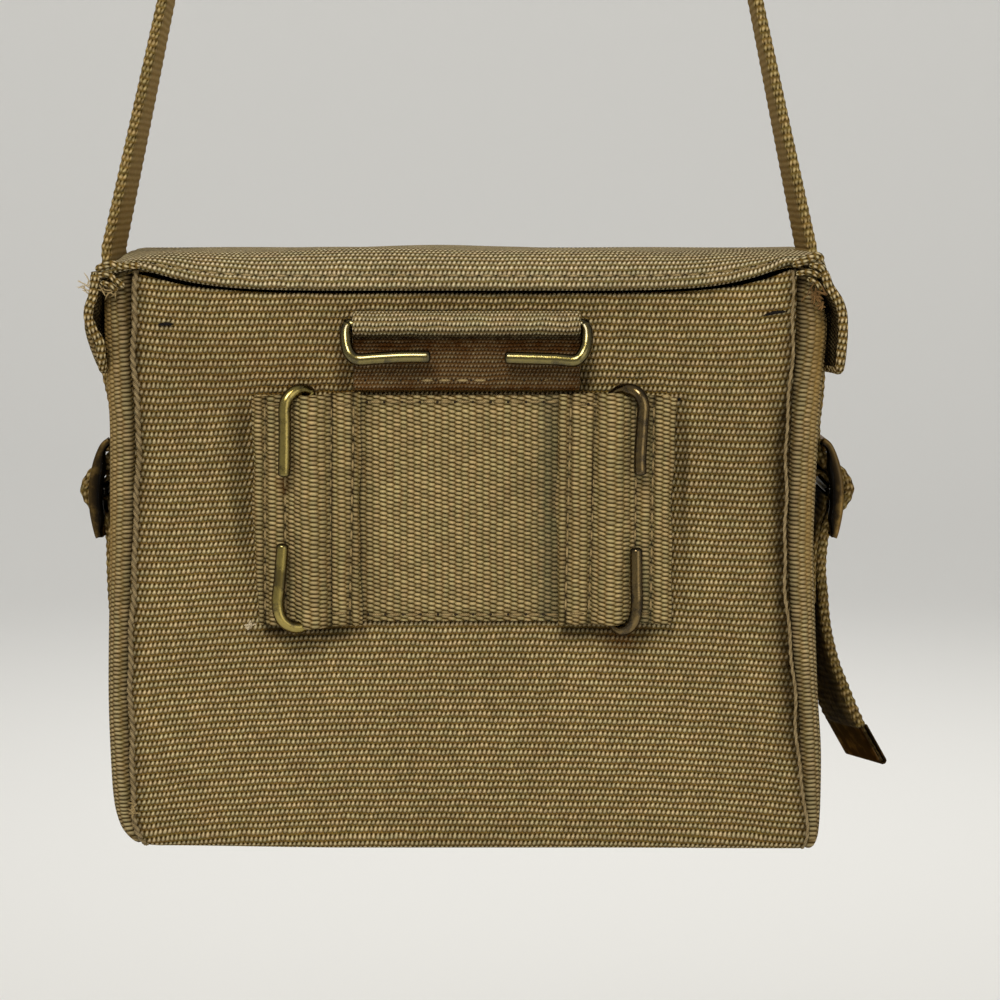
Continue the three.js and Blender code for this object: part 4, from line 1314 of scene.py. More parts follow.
    def side_flap(self, side: Side, y: Array, down: Array) -> Array:
        """Middle surface of a side flap: pressed in by the strap, its two ends set by rows.

        Args:
            side: side of the case that it hangs on.
            y: place along the flap.
            down: share of the way down to its lower edge.

        Returns:
            Points of the surface.
        """
        cut, flare = side.pick((self.left_cut, self.flare_left), (self.right_cut, self.flare_right))
        z = self.flap_top - down * self.flap_reach(cut, y, self.flap_half_depth)
        ends = ramp(np.abs(y), self.flare_from, self.flap_half_depth)
        rows = smooth_path(np.stack([self.flare_downs, flare], -1), 6)
        pressed = self.half_width - self.flap_wall / 2 - SHAPE.pinch(side.value, y, z)
        out = pressed + ends * (np.interp(down, *rows.T) - pressed)
        return np.stack(np.broadcast_arrays(side.value * out, y, z), -1)

    def front_flap(self, x: Array, down: Array) -> Array:
        """Middle surface of the far side's flap: flat, with rounded lower corners."""
        z = self.flap_top - down * self.flap_reach(self.front_cut, x, self.flap_half_width)
        y = SHAPE.half_depth + SHAPE.gap + self.flap_wall / 2
        return np.stack(np.broadcast_arrays(x, y, z), -1)

    def build_flap(
        self, name: str, word: str, surface: Callable, half_length: float, cut: FlapCut, **looks: Any
    ) -> None:
        """Wall of a flap, and a roll of webbing along its free edge.

        Args:
            name: name of the wall's piece.
            word: end of the node's and the roll's name.
            surface: function of the place along and the share down.
            half_length: half the flap's length.
            cut: its lower edge and corners.
            **looks: finish of the wall, painted shade added on its two faces, way of the roll's section.
        """
        inset = 0.6
        along = graded(-half_length + inset, half_length - inset, self.step, cut.corner, 9)[None, :]
        down = graded(0, 1, 0.07, 0.12)[:, None]
        reach = self.flap_reach(cut, along, half_length)
        distance = np.minimum(half_length - np.abs(along), (1 - down) * reach)
        half = rim_half(np.minimum(distance, down * reach + 0.6), self.flap_wall / 2)
        soil_and_shade = 0.35 * bump(distance, 0, 2.2) + 0.3 * ramp(down, 0.2, 0.0)
        maps = np.stack([down * reach, along + 0 * reach * down], -1)
        wall = Patch().sheet(surface(along, down), half, maps, {Mark.SOIL_AND_SHADE: soil_and_shade}, looks["face_shade"])
        wall.build(name, looks["finish"], f"lid_flap_{word}")
        lower = -half_length * np.cos(np.linspace(0, np.pi, 80))
        fall = np.linspace(0, 1, 20)
        parts = (
            surface(np.full(19, -half_length), fall[:-1]),
            surface(lower, np.ones(80)),
            surface(np.full(19, half_length), fall[-2::-1]),
        )
        roll = Patch()
        rolled(roll, evenly(np.concatenate(parts), 0.8), looks["way"], self.roll_radius)
        roll.build(f"flap_edge_{word}", CANVAS)

    def build_flaps(self) -> None:
        """The two side flaps, with painted shade on their inner faces, and the far side's flap."""
        for side in Side:
            # Each side flap's inner face carries painted shade.
            cut, face_shade = side.pick((self.left_cut, (0.0, 1.0)), (self.right_cut, (1.0, 0.0)))
            looks = {"finish": CANVAS_TURNED, "face_shade": face_shade, "way": X_WAY}
            surface = partial(self.side_flap, side)
            self.build_flap(
                f"side_flap_{side.word}", side.word, surface, self.flap_half_depth, cut, **looks
            )
        looks = {"finish": CANVAS, "face_shade": (0.0, 0.0), "way": Y_WAY}
        self.build_flap(
            "front_flap", "front", self.front_flap, self.flap_half_width, self.front_cut, **looks
        )

    def build_stud(self) -> None:
        """Stud on the far flap: a domed profile turned about the Y direction."""
        low, high = node_box("front_stud")
        centre = (low + high) / 2
        radius, height = (high[0] - low[0]) / 2, high[1] - low[1]
        turn = np.linspace(0, QUARTER, 10)[:-1]
        rim = 0.9
        reach = np.concatenate([[radius - 0.4, radius - 0.1, radius], radius * np.cos(turn[1:])])
        rise = np.concatenate([[0, 0.15, 0.5], rim + (height - rim) * np.sin(turn[1:])])
        angle = np.linspace(0, 2 * np.pi, 36, endpoint=False)
        x = centre[0] + reach[:, None] * np.cos(angle)
        z = centre[2] + reach[:, None] * np.sin(angle)
        rings = np.stack([x, low[1] + rise[:, None] + 0 * angle, z], -1)
        Patch().tube(rings).build("flap_stud", WIRE_BRASS, "front_stud")


class Sewing:
    """Sewn runs of one piece: light threads, and dark domes painted as the shade in the holes where they
    dive in.
    """

    pitch: float = 4.2
    radius: float = 0.32
    hole_radius: float = 0.44

    def __init__(self) -> None:
        """Start with no runs."""
        self.threads, self.holes = Patch(), Patch()

    def run(self, line: Array, outward: Array, kept: tuple = (0, 1)) -> None:
        """Add a run along a line.

        A stitch is a capsule of six-sided rings along most of the pitch, whose height follows
        half a sine. A hole is a low dome at each stitch's end.

        Args:
            line: (n, 3) points of the sewn line.
            outward: direction out of the cloth.
            kept: shares of the line between which the threads are still there.
        """
        sides = 6
        share = np.linspace(-1, 1, 7)
        reach = share * (0.5 * self.pitch - 0.15)
        path = np.stack([reach, 0 * reach, 0.5 * np.cos(share * QUARTER) - 0.3], -1)
        thick = np.sqrt(np.maximum(1 - np.abs(share) ** 3, 0.08))
        profile = round_profile(sides, self.radius)[None] * thick[:, None, None]
        stitch = carried(path, Y_WAY, profile)
        # Each hole is a low dark dome: painted shade for the hole.
        dome = np.array(((1.0, -0.3), (0.95, 0.05), (0.55, 0.14)))
        ring = np.pad(round_profile(8, self.hole_radius), ((0, 0), (0, 1)))
        hole = dome[:, :1, None] * ring + dome[:, 1:, None] * Z_WAY
        # Painted shade: the thread darkens towards both ends, where it dives into the cloth.
        ends = ramp(np.abs(share), 0.45, 0.9)[:, None] + np.zeros(sides)
        points = evenly(line, self.pitch / 2)
        tangent = unit(np.gradient(points, axis=0))
        for index, (point, way) in enumerate(zip(points, tangent)):
            basis = np.stack([way, np.cross(outward, way), outward])
            if index % 2 and kept[0] <= index / len(points) <= kept[1]:
                self.threads.tube(point + stitch @ basis, {Mark.SOIL_AND_SHADE: ends})
            elif not index % 2:
                self.holes.tube(point + hole @ basis)

    def build(self, name: str) -> None:
        """Make both pieces."""
        self.threads.build(f"{name}_stitches", STITCH)
        self.holes.build(f"{name}_holes", HOLE_SHADE)


@dataclass(frozen=True)
class HookTab:
    """Webbing tab with a padded fold over the wire, sewn to the belt panel."""

    side: Side
    spine_x: float
    lines: Rows
    wall: float = 1.6
    fold_half_width: float = 5.5
    fold_rise: float = 4.0
    groove: float = 0.7
    belt_clearance: float = 0.42
    top_lift: float = 1.2
    bottom_lift: float = 0.0
    inner_reach: float = 0.0
    outer_lean: float = 1.0
    sewn_top: float = 111.4
    sewn_bottom: float = 59.2
    step: float = 0.9

    @property
    def back(self) -> float:
        """y of the tab's back face, just clear of the belt panel."""
        return node_box(f"hook_tab_{self.side.word}")[1][1] - self.belt_clearance

    def line_x(self, line: Pair, z: Array) -> Array:
        """x of a sewn line, which leans a little from its top to its bottom."""
        share = (z - self.sewn_bottom) / (self.sewn_top - self.sewn_bottom)
        return line[1] + (line[0] - line[1]) * share

    def middle_y(self, x: Array, z: Array) -> Array:
        """y of the tab's middle surface: flat, a cosine-squared fold, dips along the seams."""
        offset = np.clip((x - self.spine_x) / self.fold_half_width, -1, 1)
        rise = self.fold_rise * np.cos(offset * QUARTER) ** 2
        dips = sum(bump(x - self.line_x(line, z), 0, 0.8) for line in self.lines)
        return self.back - self.wall / 2 - rise + self.groove * dips - SHAPE.relief(x, z)

    def build(self) -> None:
        """Tab and its stitches."""
        low, high = node_box(f"hook_tab_{self.side.word}")
        x = graded(low[0], high[0], self.step, self.wall / 2)[None, :]
        z = graded(low[2], high[2], self.step, self.wall / 2)[:, None]
        share = (z - low[2]) / (high[2] - low[2])
        out = self.side.value * (x - self.spine_x)
        wander = 0.35 * np.sin(z / 7 + self.spine_x) + 0.2 * np.sin(z / 2.9)
        lean = self.outer_lean * ramp(out, 4, 15) * (1 - share)
        x = x + wander * bump(np.abs(out), 14, 5)
        x = x - self.side.value * (lean + self.inner_reach * ramp(-out, 6, 11))
        lift = self.top_lift * (1 - 0.9 * ramp(out, 4, 15)) * share
        z = z + lift + self.bottom_lift * (1 - share) + 0.3 * np.sin(x / 5)
        middle = np.stack([x, self.middle_y(x, z), z], -1)
        from_sides = np.minimum(x - x.min(1, keepdims=True), x.max(1, keepdims=True) - x)
        edges = np.minimum(from_sides, np.minimum(z - z.min(0), z.max(0) - z))
        half = rim_half(edges, self.wall / 2)
        sewn = sum(bump(x - self.line_x(line, z), 0, 0.75) for line in self.lines)
        soil_and_shade = 0.9 * sewn + 0.3 * bump(edges, 0, 1.2)
        prong = self.spine_x + self.side.value * 6.8
        green = 0.45 * bump(x, prong, 2.6) * ramp(np.abs(z - 85), 4, 14)
        green = green * self.side.pick(0.35, 1.0)
        rust = 0.8 * bump(x, prong, 1.6) * bump(z, 91.5, 2.2) * (self.side is Side.LEFT)
        marks = {Mark.SOIL_AND_SHADE: soil_and_shade, Mark.VERDIGRIS: green, Mark.RUST: rust}
        sheet = Patch().sheet(middle, half, np.stack([z, x], -1), marks)
        sheet.build(f"hook_tab_webbing_{self.side.word}", BELT_WEBBING, f"hook_tab_{self.side.word}")
        self.build_stitches()

    def build_stitches(self) -> None:
        """Upright runs along the sewn lines, and short runs that close their ends."""
        sewing = Sewing()
        z = np.linspace(self.sewn_top, self.sewn_bottom, 60)
        for line in self.lines:
            sewing.run(self.on_face(self.line_x(line, z), z), HOOK_SIDE_OUT)
        for first, second in zip(self.lines[::2], self.lines[1::2]):
            for height in (self.sewn_top, self.sewn_bottom):
                ends = [self.line_x(line, np.array(height)) for line in (first, second)]
                x = np.linspace(*ends, 12)
                sewing.run(self.on_face(x, np.full(12, height)), HOOK_SIDE_OUT)
        sewing.build(f"hook_tab_{self.side.word}")

    def on_face(self, x: Array, z: Array) -> Array:
        """Points on the tab's outer face."""
        return np.stack([x, self.middle_y(x, z) - self.wall / 2 + 0.05, z], -1)


@dataclass(frozen=True)
class BeltPanel:
    """Webbing sewn across the hook side, under the two hook tabs."""

    step: float = 1.2
    sewn_inset: float = 1.7
    top_lift: float = 1.1

    def build(self) -> None:
        """Panel with rounded rims and a sewn dip along its upper and lower edge."""
        low, high = node_box("belt_panel")
        wall = high[1] - low[1]
        x = graded(low[0], high[0], self.step, wall / 2)[None, :]
        high[2] += self.top_lift
        z = graded(low[2], high[2], self.step, wall / 2)[:, None] + 0 * x
        lines = (high[2] - self.sewn_inset, low[2] + self.sewn_inset)
        dips = sum(bump(z, line, 0.8) for line in lines)
        y = (low[1] + high[1]) / 2 - SHAPE.relief(x, z) + 0.35 * dips
        middle = np.stack([x + 0 * z, y, z], -1)
        edges = np.minimum(np.minimum(x - low[0], high[0] - x), np.minimum(z - low[2], high[2] - z))
        half = rim_half(edges, wall / 2)
        soil_and_shade = 0.5 * dips + 0.35 * bump(x, 21.5, 2.5) + 0.3 * bump(x, -25.5, 2.0)
        green = 0.35 * bump(x, 20.5, 2.5) + 0 * z
        marks = {Mark.SOIL_AND_SHADE: soil_and_shade, Mark.VERDIGRIS: green}
        sheet = Patch().sheet(middle, half, np.stack([z, x + 0 * z], -1), marks)
        sheet.build("belt_webbing", BELT_WEBBING, "belt_panel")
        sewing = Sewing()
        for line in lines:
            across = np.linspace(-24.5, 21.5, 80)
            face = low[1] - SHAPE.relief(across, line) + 0.3
            sewing.run(np.stack([across, face, np.full(80, line)], -1), HOOK_SIDE_OUT)
        sewing.build("belt")


@dataclass(frozen=True)
class WireHook:
    """Bent brass wire through a few points, with a round section and cut tips."""

    name: str
    node: str
    finish: Brass
    route: Points
    side: Place
    radius: float = 1.55
    sides: int = 18
    step: float = 0.4
    tip: float = 0.7

    def build(self) -> None:
        """Circle carried along the route; the radius eases to the tips as a quarter circle.

        The cut tips are darkened, the outward side stays bare, and painted shade deepens round to the
        cloth.
        """
        path = evenly(smooth_path(np.array(self.route), 24), self.step)
        along = path_lengths(path)
        from_end = np.minimum(along, along[-1] - along)
        near = np.clip(1 - from_end / self.tip, 0, 1)
        scale = 1 - 0.45 * (1 - np.sqrt(1 - near**2))
        profile = round_profile(self.sides, self.radius)[None] * scale[:, None, None]
        rings = carried(path, np.array(self.side), profile)
        outward = (path[:, None, 1] - rings[..., 1]) / self.radius
        # Painted shade on the flanks, and darker cut tips.
        soil_and_shade = 0.5 * bump(from_end, 0, 0.8)[:, None] + 0.7 * fade(outward, 0.3, 0.92)
        Patch().tube(rings, {Mark.SOIL_AND_SHADE: soil_and_shade}).build(self.name, self.finish, self.node)


@dataclass(frozen=True)
class TopTab:
    """Webbing strip that rolls round the upper hook's spine and is sewn flat below it."""

    wall: float = 1.45
    neck: float = 126.8
    sewn: float = 117.2
    step: float = 0.5

    def build(self) -> None:
        """Strip along its section (up the back, round the wire, down the front), carried in x."""
        low, high = node_box("top_hook_tab")
        back = high[1] - self.wall / 2
        roll_radius = (high[2] - 131.0) - self.wall / 2
        centre = np.array((high[1] - (high[2] - 131.0), 131.0))
        angle = np.linspace(0, -1.42 * np.pi, 40)
        turn = np.stack([np.cos(angle), -np.sin(angle)], -1) * roll_radius + centre
        front = back - self.wall - 0.1
        rows = [[back, low[2]], [back, low[2] + 4], [back, self.neck - 3]]
        ahead = [[front - 0.35, self.neck - 1.3], [front, self.neck - 4]]
        ahead += [[front, low[2] + 4], [front, low[2]]]
        section = np.concatenate([rows, turn, ahead])
        flat = evenly(smooth_path(section, 6), self.step)
        path = np.concatenate([np.full((len(flat), 1), (low[0] + high[0]) / 2), flat], 1)
        width = high[0] - low[0]
        profile = bar_profile(width, self.wall, self.wall * 0.48, 40)
        rings = carried(path, X_WAY, profile)
        z = rings[..., 2]
        on_flat = fade(z, self.neck - 1, self.neck + 2)
        corner = bump(rings[..., 0], -25, 5) * bump(z, low[2] + 2, 2.5)
        rust = on_flat * (0.4 + 0.4 * corner)
        # Painted shade in the band under the roll; the flat is darkened by painted shade under the prongs
        # and by stain, less at its orange corner.
        soil_and_shade = bump(z, self.neck + 0.4, 2.2) + 0.5 * bump(z, low[2], 0.8) + on_flat * (0.72 - 0.55 * corner)
        strip = Patch().tube(rings, {Mark.RUST: rust, Mark.SOIL_AND_SHADE: soil_and_shade})
        strip.build("top_tab_webbing", TAB_WEBBING, "top_hook_tab")
        x = np.linspace(low[0] + 3, high[0] - 3, 60)
        face = front - self.wall / 2 + 0.12
        path = np.stack([x, np.full(60, face), np.full(60, self.sewn)], -1)
        sewing = Sewing()
        sewing.run(path, HOOK_SIDE_OUT, (0.27, 0.62))
        sewing.build("top_tab")


@dataclass(frozen=True)
class Strap:
    """Shoulder strap from tail to tail over the place where it hangs, and its two tips."""

    width: float = 25.4
    thickness: float = 2.6
    hang_radius: float = 8.0
    left_leg: Rows = ((92.2, 149), (92.2, 141), (92.5, 131), (93.1, 119), (91.7, 111), (90.7, 104))
    right_leg: Rows = ((88.3, 149), (88.6, 141), (89.2, 131), (91.0, 119), (90.8, 111), (90.1, 104))
    threaded: Rows = (
        (90.3, 98.5), (91.6, 95.4), (94.2, 92.9), (97.2, 90.4), (99.0, 87.2), (98.2, 84.2), (95.9, 81),
        (93.9, 77.8), (92.7, 74.5),
    )
    left_tail: Rows = ((92.6, 66), (92.3, 57), (91.4, 46), (91.0, 34), (91.2, 25.5), (92.2, 13.6))
    right_tail: Rows = (
        (92.1, 66), (92.8, 58.5), (93.2, 52), (93.8, 46), (95.2, 38), (99.3, 25.8), (106.2, 13.6),
    )
    twist_heights: tuple[float, ...] = (120, 149, 212, 420, 500)
    twist_shifts: tuple[float, ...] = (0, -0.3, 0.65, 0.4, 0)
    tail_turn: float = 0.24
    turn_low: float = 26.0
    turn_high: float = 58.0
    braid: float = 2.3
    step: float = 0.36
    crimp: float = 0.32
    tip_length: float = 11.5
    tip_wall: float = 0.5
    tip_width: float = 26.6
    tip_room: float = 0.25

    def build(self) -> None:
        """Strap and both tips."""
        self.build_strap()
        for side in Side:
            self.build_tip(side)

    def upper(self, side: Side) -> Array:
        """Rows of one leg beside the case as distance out and height."""
        return np.array(side.pick(self.left_leg, self.right_leg), float)

    def tail(self, side: Side) -> Array:
        """Rows of one tail as distance out and height."""
        return np.array(side.pick(self.left_tail, self.right_tail), float)

    def leg(self, side: Side) -> Array:
        """Centre line of one side from the top of its leg down to the tail's end, in x and z."""
        rows = np.concatenate([self.upper(side), self.threaded, self.tail(side)])
        return smooth_path(rows, 10) * (side.value, 1)

    def bend(self) -> Array:
        """Arc over the hanging place, between the points where straight legs leave it."""
        radius = self.hang_radius + self.thickness / 2
        centre = np.array((0.0, -CASE_ORIGIN[2] - self.hang_radius))
        leave = {}
        for side in Side:
            leg = self.upper(side)[0] - centre
            leave[side] = np.arctan2(leg[1], leg[0]) + np.arccos(radius / np.linalg.norm(leg))
        angle = np.linspace(np.pi - leave[Side.LEFT], leave[Side.RIGHT], 24)
        return centre + radius * np.stack([np.cos(angle), np.sin(angle)], -1)

    def twisted(self, points: Array) -> Array:
        """Points of the legs turned a little, so that the far edge lies further out."""
        amount = np.interp(points[..., 2], self.twist_heights, self.twist_shifts)
        shift = np.sign(points[..., 0]) * amount * points[..., 1] / (self.width / 2)
        return points + shift[..., None] * X_WAY

    def swung(self, points: Array) -> Array:
        """Points of the right tail moved so that the near edge stands further out."""
        before, end = self.right_tail[-2:]
        along = unit(np.array(end, float) - before)
        turned = fade(points[..., 2], self.turn_low, self.turn_high)
        shift = -points[..., 1] * self.tail_turn * turned * (points[..., 0] > 0)
        return points + shift[..., None] * np.array((-along[1], 0, along[0]))

    def build_strap(self) -> None:
        """Flat rounded section carried along the strap, its two edges ridged in chevrons."""
        flat = np.concatenate([self.leg(Side.LEFT)[::-1], self.bend(), self.leg(Side.RIGHT)])
        flat = evenly(flat, self.step)
        path = np.stack([flat[:, 0], 0 * flat[:, 0], flat[:, 1]], -1)
        along = path_lengths(path)[:, None]
        in_tip = fade(np.minimum(along, along[-1] - along), 9, 12)
        profile = bar_profile(self.width, self.thickness, self.thickness * 0.45, 4)
        edge = ramp(np.abs(profile[:, 0]), self.width / 2 - 1.9, self.width / 2 - 0.5)
        chevron = np.cos(2 * np.pi * (along / self.braid - np.abs(profile[:, 1]) / self.thickness))
        wide = profile[:, 0] + 0.2 * edge * chevron * np.sign(profile[:, 0])
        full = 1 + 0.4 * bump(flat[:, 1:], 93.5, 3.5) - (1 - self.crimp) * in_tip
        high = profile[:, 1] * (1 + 0.1 * edge * chevron) * full
        rings = carried(path, Y_WAY, np.stack([wide, high], -1))
        rings = self.swung(self.twisted(rings))
        z = rings[..., 2]
        inner = (1 - edge) * ramp(-profile[:, 1], 0, 0.3 * self.thickness)
        # Painted shade inside the buckle and on the tails' inner face and edges low down; the braid's
        # grooves, the ends under the tips and the bulge at the middle bar are darkened too.
        shade_in_buckle = bump(z, 87, 9) * fade(np.abs(rings[..., 0]), 94.5, 96.5)
        low = fade(z, 55, 80)
        soil_and_shade = 0.5 * edge * ramp(-chevron, -0.2, 0.9) + shade_in_buckle + in_tip
        soil_and_shade = soil_and_shade + low * (inner + 0.35 * edge) + 0.4 * bump(z, 87, 8) * (np.abs(rings[..., 0]) > 95.5)
        LOG.info("strap length along its middle: %.0f mm", along[-1, 0])
        strap = Patch().tube(rings, {Mark.SOIL_AND_SHADE: soil_and_shade, Mark.WORN: 0.65 * inner * (1 - low)})
        strap.build("shoulder_strap_webbing", STRAP_WEBBING, "shoulder_strap")

    def build_tip(self, side: Side) -> None:
        """Folded plate: a thin section carried down one face, round the end and up the other."""
        before, end = self.tail(side)[-2:]
        along = unit(end - before)
        outward = np.array((-along[1], along[0]))
        reach = self.crimp * self.thickness / 2 + 0.1 + self.tip_wall / 2
        mouth = -self.tip_length + self.tip_room + self.tip_wall
        low = self.tip_room + self.tip_wall / 2
        turn = np.linspace(0, np.pi, 13)
        fold = np.stack([low - 0.8 + 0.8 * np.sin(turn), reach * np.cos(turn)], -1)
        down_out = np.concatenate([[[mouth, reach]], fold, [[mouth, -reach]]])
        flat = end + down_out[:, :1] * along + down_out[:, 1:] * outward
        flat = evenly(flat, 0.4) * (side.value, 1)
        path = np.stack([flat[:, 0], 0 * flat[:, 0], flat[:, 1]], -1)
        profile = bar_profile(self.tip_width, self.tip_wall, self.tip_wall * 0.45, 6)
        rings = carried(path, Y_WAY, profile)
        rings = self.swung(rings) if side is Side.RIGHT else rings
        Patch().tube(rings).build(f"strap_tip_plate_{side.word}", TIP_BRASS, f"strap_tip_{side.word}")


@dataclass(frozen=True)
class Buckle:
    """Three-bar buckle, arched outwards, and the webbing tab that holds its middle bar."""

    side: Side
    push: float
    wear: float
    half_width: float = 16.3
    rail_width: float = 2.8
    plate: float = 2.0
    rail_rib: float = 1.5
    bar_height: float = 2.8
    rail: Rows = (
        (91.4, 99.8), (93.2, 98.2), (94.9, 94.2), (95.9, 89.7), (96.2, 86), (96, 81.2), (95.1, 76.4),
        (94.6, 74.8),
    )
    top_bar: Pair = (92.6, 98.3)
    bottom_bar: Pair = (94.9, 76)
    centre_bar: Pair = (93.8, 86.7)
    centre_radius: float = 1.2
    lug_height: float = 2.4
    tab_width: float = 25.4
    tab_wall: float = 1.05
    tab_rows_up: Rows = (
        (89.1, 57), (89.1, 66), (89.1, 78), (89.4, 86), (89.9, 90), (91.2, 91.2), (92.7, 90.1),
    )
    tab_rows_down: Rows = ((92.5, 81.2), (91.2, 77), (90.3, 69), (90.2, 57))

    def build(self) -> None:
        """Buckle and tab."""
        self.build_buckle()
        self.build_tab()

    def placed(self, out_z: Array, y: Array | float) -> Array:
        """Points on this side from distance out and height, at a place y."""
        x = self.side.value * out_z[:, 0]
        return np.stack([x, np.broadcast_to(y, x.shape), out_z[:, 1]], -1)

    def bar(
        self, patch: Patch, path: Array, side: Array, profile: Array, soil_and_shade: Array | float = 0.0
    ) -> None:
        """Add a metal bar: a profile carried along a path, worn bright at its corners.

        Args:
            patch: patch that the bar is added to.
            path: (n, 3) points.
            side: direction that the profile's first axis keeps to.
            profile: (m, 2) points, or (n, m, 2).
            soil_and_shade: painted shade on each of its points, or on all of them.
        """
        rings = carried(path, side, profile)
        soil_and_shade = np.broadcast_to(soil_and_shade, rings.shape[:2])
        worn = self.wear * ramp(np.abs(profile).sum(-1), 1.2, 2.4) * (1 - soil_and_shade)
        patch.tube(rings, {Mark.WORN: worn, Mark.SOIL_AND_SHADE: soil_and_shade})

    def rail_section(self, z: Array) -> Array:
        """Profile of a rail at each height: between the bars a rib deepens it inwards."""
        profile = bar_profile(self.rail_width, self.plate, 0.6)
        rib = self.rail_rib * ramp(z, 75, 80) * fade(z, 93, 98)
        rib = rib[:, None]
        deep = profile[:, 1] * (1 + rib / self.plate) - self.side.value * rib / 2
        return np.stack([profile[:, 0] + 0 * rib, deep], -1)

    def build_buckle(self) -> None:
        """Two arched rails, their lugs, two flat bars and the round middle bar."""
        patch = Patch()
        rail = evenly(smooth_path(np.array(self.rail, float) + (self.push, 0), 12), 0.6)
        middle = np.array(self.centre_bar)
        lug = np.linspace(middle, middle + (self.plate, 0), 4)
        section = self.rail_section(rail[:, 1])
        # Painted shade on the rails' inner sides, the lugs and the middle bar, inside the buckle.
        inner = ramp(-self.side.value * section[..., 1], -0.2, 0.7)
        lug_profile = bar_profile(self.rail_width - 0.6, self.lug_height, 0.5)
        for end in (-1, 1):
            y = end * (self.half_width - self.rail_width / 2)
            self.bar(patch, self.placed(rail, y), Y_WAY, section, inner)
            self.bar(patch, self.placed(lug, y), Y_WAY, lug_profile, 1.0)
        length = self.half_width - self.rail_width / 2
        y = np.linspace(-length, length, 30)
        for place in (self.top_bar, self.bottom_bar):
            path = self.placed(np.tile(np.array(place, float), (30, 1)), y)
            self.bar(patch, path, Z_WAY, bar_profile(self.bar_height, self.plate, 0.6))
        path = self.placed(np.tile(middle, (30, 1)), y)
        self.bar(patch, path, Z_WAY, round_profile(14, self.centre_radius), 1.0)
        patch.build(f"buckle_frame_{self.side.word}", BUCKLE_BRASS, f"buckle_{self.side.word}")

    def build_tab(self) -> None:
        """Webbing strip up from the side, round the buckle's middle bar and down again."""
        middle = np.array(self.centre_bar)
        radius = self.centre_radius + 0.45 + self.tab_wall / 2
        angle = np.linspace(0.5 * np.pi, -0.65 * np.pi, 18)
        loop = middle + radius * np.stack([np.cos(angle), np.sin(angle)], -1)
        rows = np.concatenate([np.array(self.tab_rows_up, float), loop, self.tab_rows_down])
        path = self.placed(evenly(smooth_path(rows, 8), 0.5), 0.0)
        profile = bar_profile(self.tab_width, self.tab_wall, self.tab_wall * 0.48, 16)
        rings = carried(path, Y_WAY, profile)
        # Darker edges, and painted shade on the upper part, inside the buckle.
        soil_and_shade = 0.3 * ramp(np.abs(profile[:, 0]), 11, 12.7) + 0.6 * ramp(rings[..., 2], 70, 78)
        strip = Patch().tube(rings, {Mark.SOIL_AND_SHADE: soil_and_shade})
        strip.build(f"buckle_tab_webbing_{self.side.word}", STRAP_WEBBING, f"buckle_tab_{self.side.word}")


class Tuft(NamedTuple):
    """Loose fibres about one place: how many, how long, how thick and how far they spread."""

    name: str
    finish: Thread
    place: Place
    spread: Place
    count: int
    length: float
    radius: float


class Wear:
    """Frays at the corners, lint, and dark threads that are caught in the canvas."""

    tufts: tuple[Tuft, ...] = (
        Tuft("corner_lint_left", LINT, (-93.2, -39.0, 140.5), (1.2, 1.0, 1.8), 12, 4.5, 0.15),
        Tuft("corner_fray_left", STITCH, (-88.5, -39.6, 139.2), (2.6, 0.4, 0.7), 12, 4.0, 0.2),
        Tuft("corner_fray_right", RUSTY_THREAD, (87.2, -39.6, 137.0), (1.4, 0.5, 2.0), 18, 3.4, 0.27),
        Tuft("corner_lint_right", RUSTY_THREAD, (83.5, -40.2, 138.6), (2.4, 0.3, 0.8), 3, 5.0, 0.14),
        Tuft("wall_lint", LINT, (-54.0, -39.4, 55.6), (0.6, 0.3, 0.6), 16, 2.2, 0.22),
        Tuft("belt_fray", STITCH, (21.1, -40.6, 117.2), (0.8, 0.3, 0.6), 9, 3.4, 0.18),
        Tuft("base_fray_left", STITCH, (-84.2, -38.3, 8.5), (0.4, 0.3, 1.6), 12, 2.6, 0.25),
    )
    caught: tuple[Points, ...] = (
        ((-76.1, -38.6, 130.7), (-74.1, -38.7, 131.0), (-72.1, -38.6, 130.9)),
        ((73.5, -38.6, 133.0), (76.4, -38.7, 133.8), (79.4, -38.6, 134.0)),
        ((52.7, -38.5, 112.6), (52.9, -38.7, 112.3), (53.1, -38.5, 112.0)),
    )
    caught_radius: float = 0.42

    def build(self) -> None:
        """Every tuft, and the caught threads as one piece."""
        rng = np.random.default_rng(RANDOM_SEED)
        for tuft in self.tufts:
            self.build_tuft(tuft, rng)
        patch = Patch()
        for points in self.caught:
            strand(patch, np.array(points), self.caught_radius)
        patch.build("caught_threads", BLACK_THREAD)

    def build_tuft(self, tuft: Tuft, rng: np.random.Generator) -> None:
        """Fibres that start about the place, run off at random and sag by the length squared."""
        share = np.linspace(0, 1, 5)[:, None]
        patch = Patch()
        for _ in range(tuft.count):
            start = np.array(tuft.place) + np.array(tuft.spread) * rng.uniform(-1, 1, 3)
            way = unit(rng.normal(size=3) * (1.0, 0.25, 0.7)) * tuft.length * rng.uniform(0.5, 1)
            bow = rng.normal(size=3) * (0.35, 0.1, 0.35) * tuft.length
            path = start + way * (share - 0.5) + bow * (share - 0.5) ** 2
            strand(patch, path, tuft.radius)
        patch.build(tuft.name, tuft.finish)


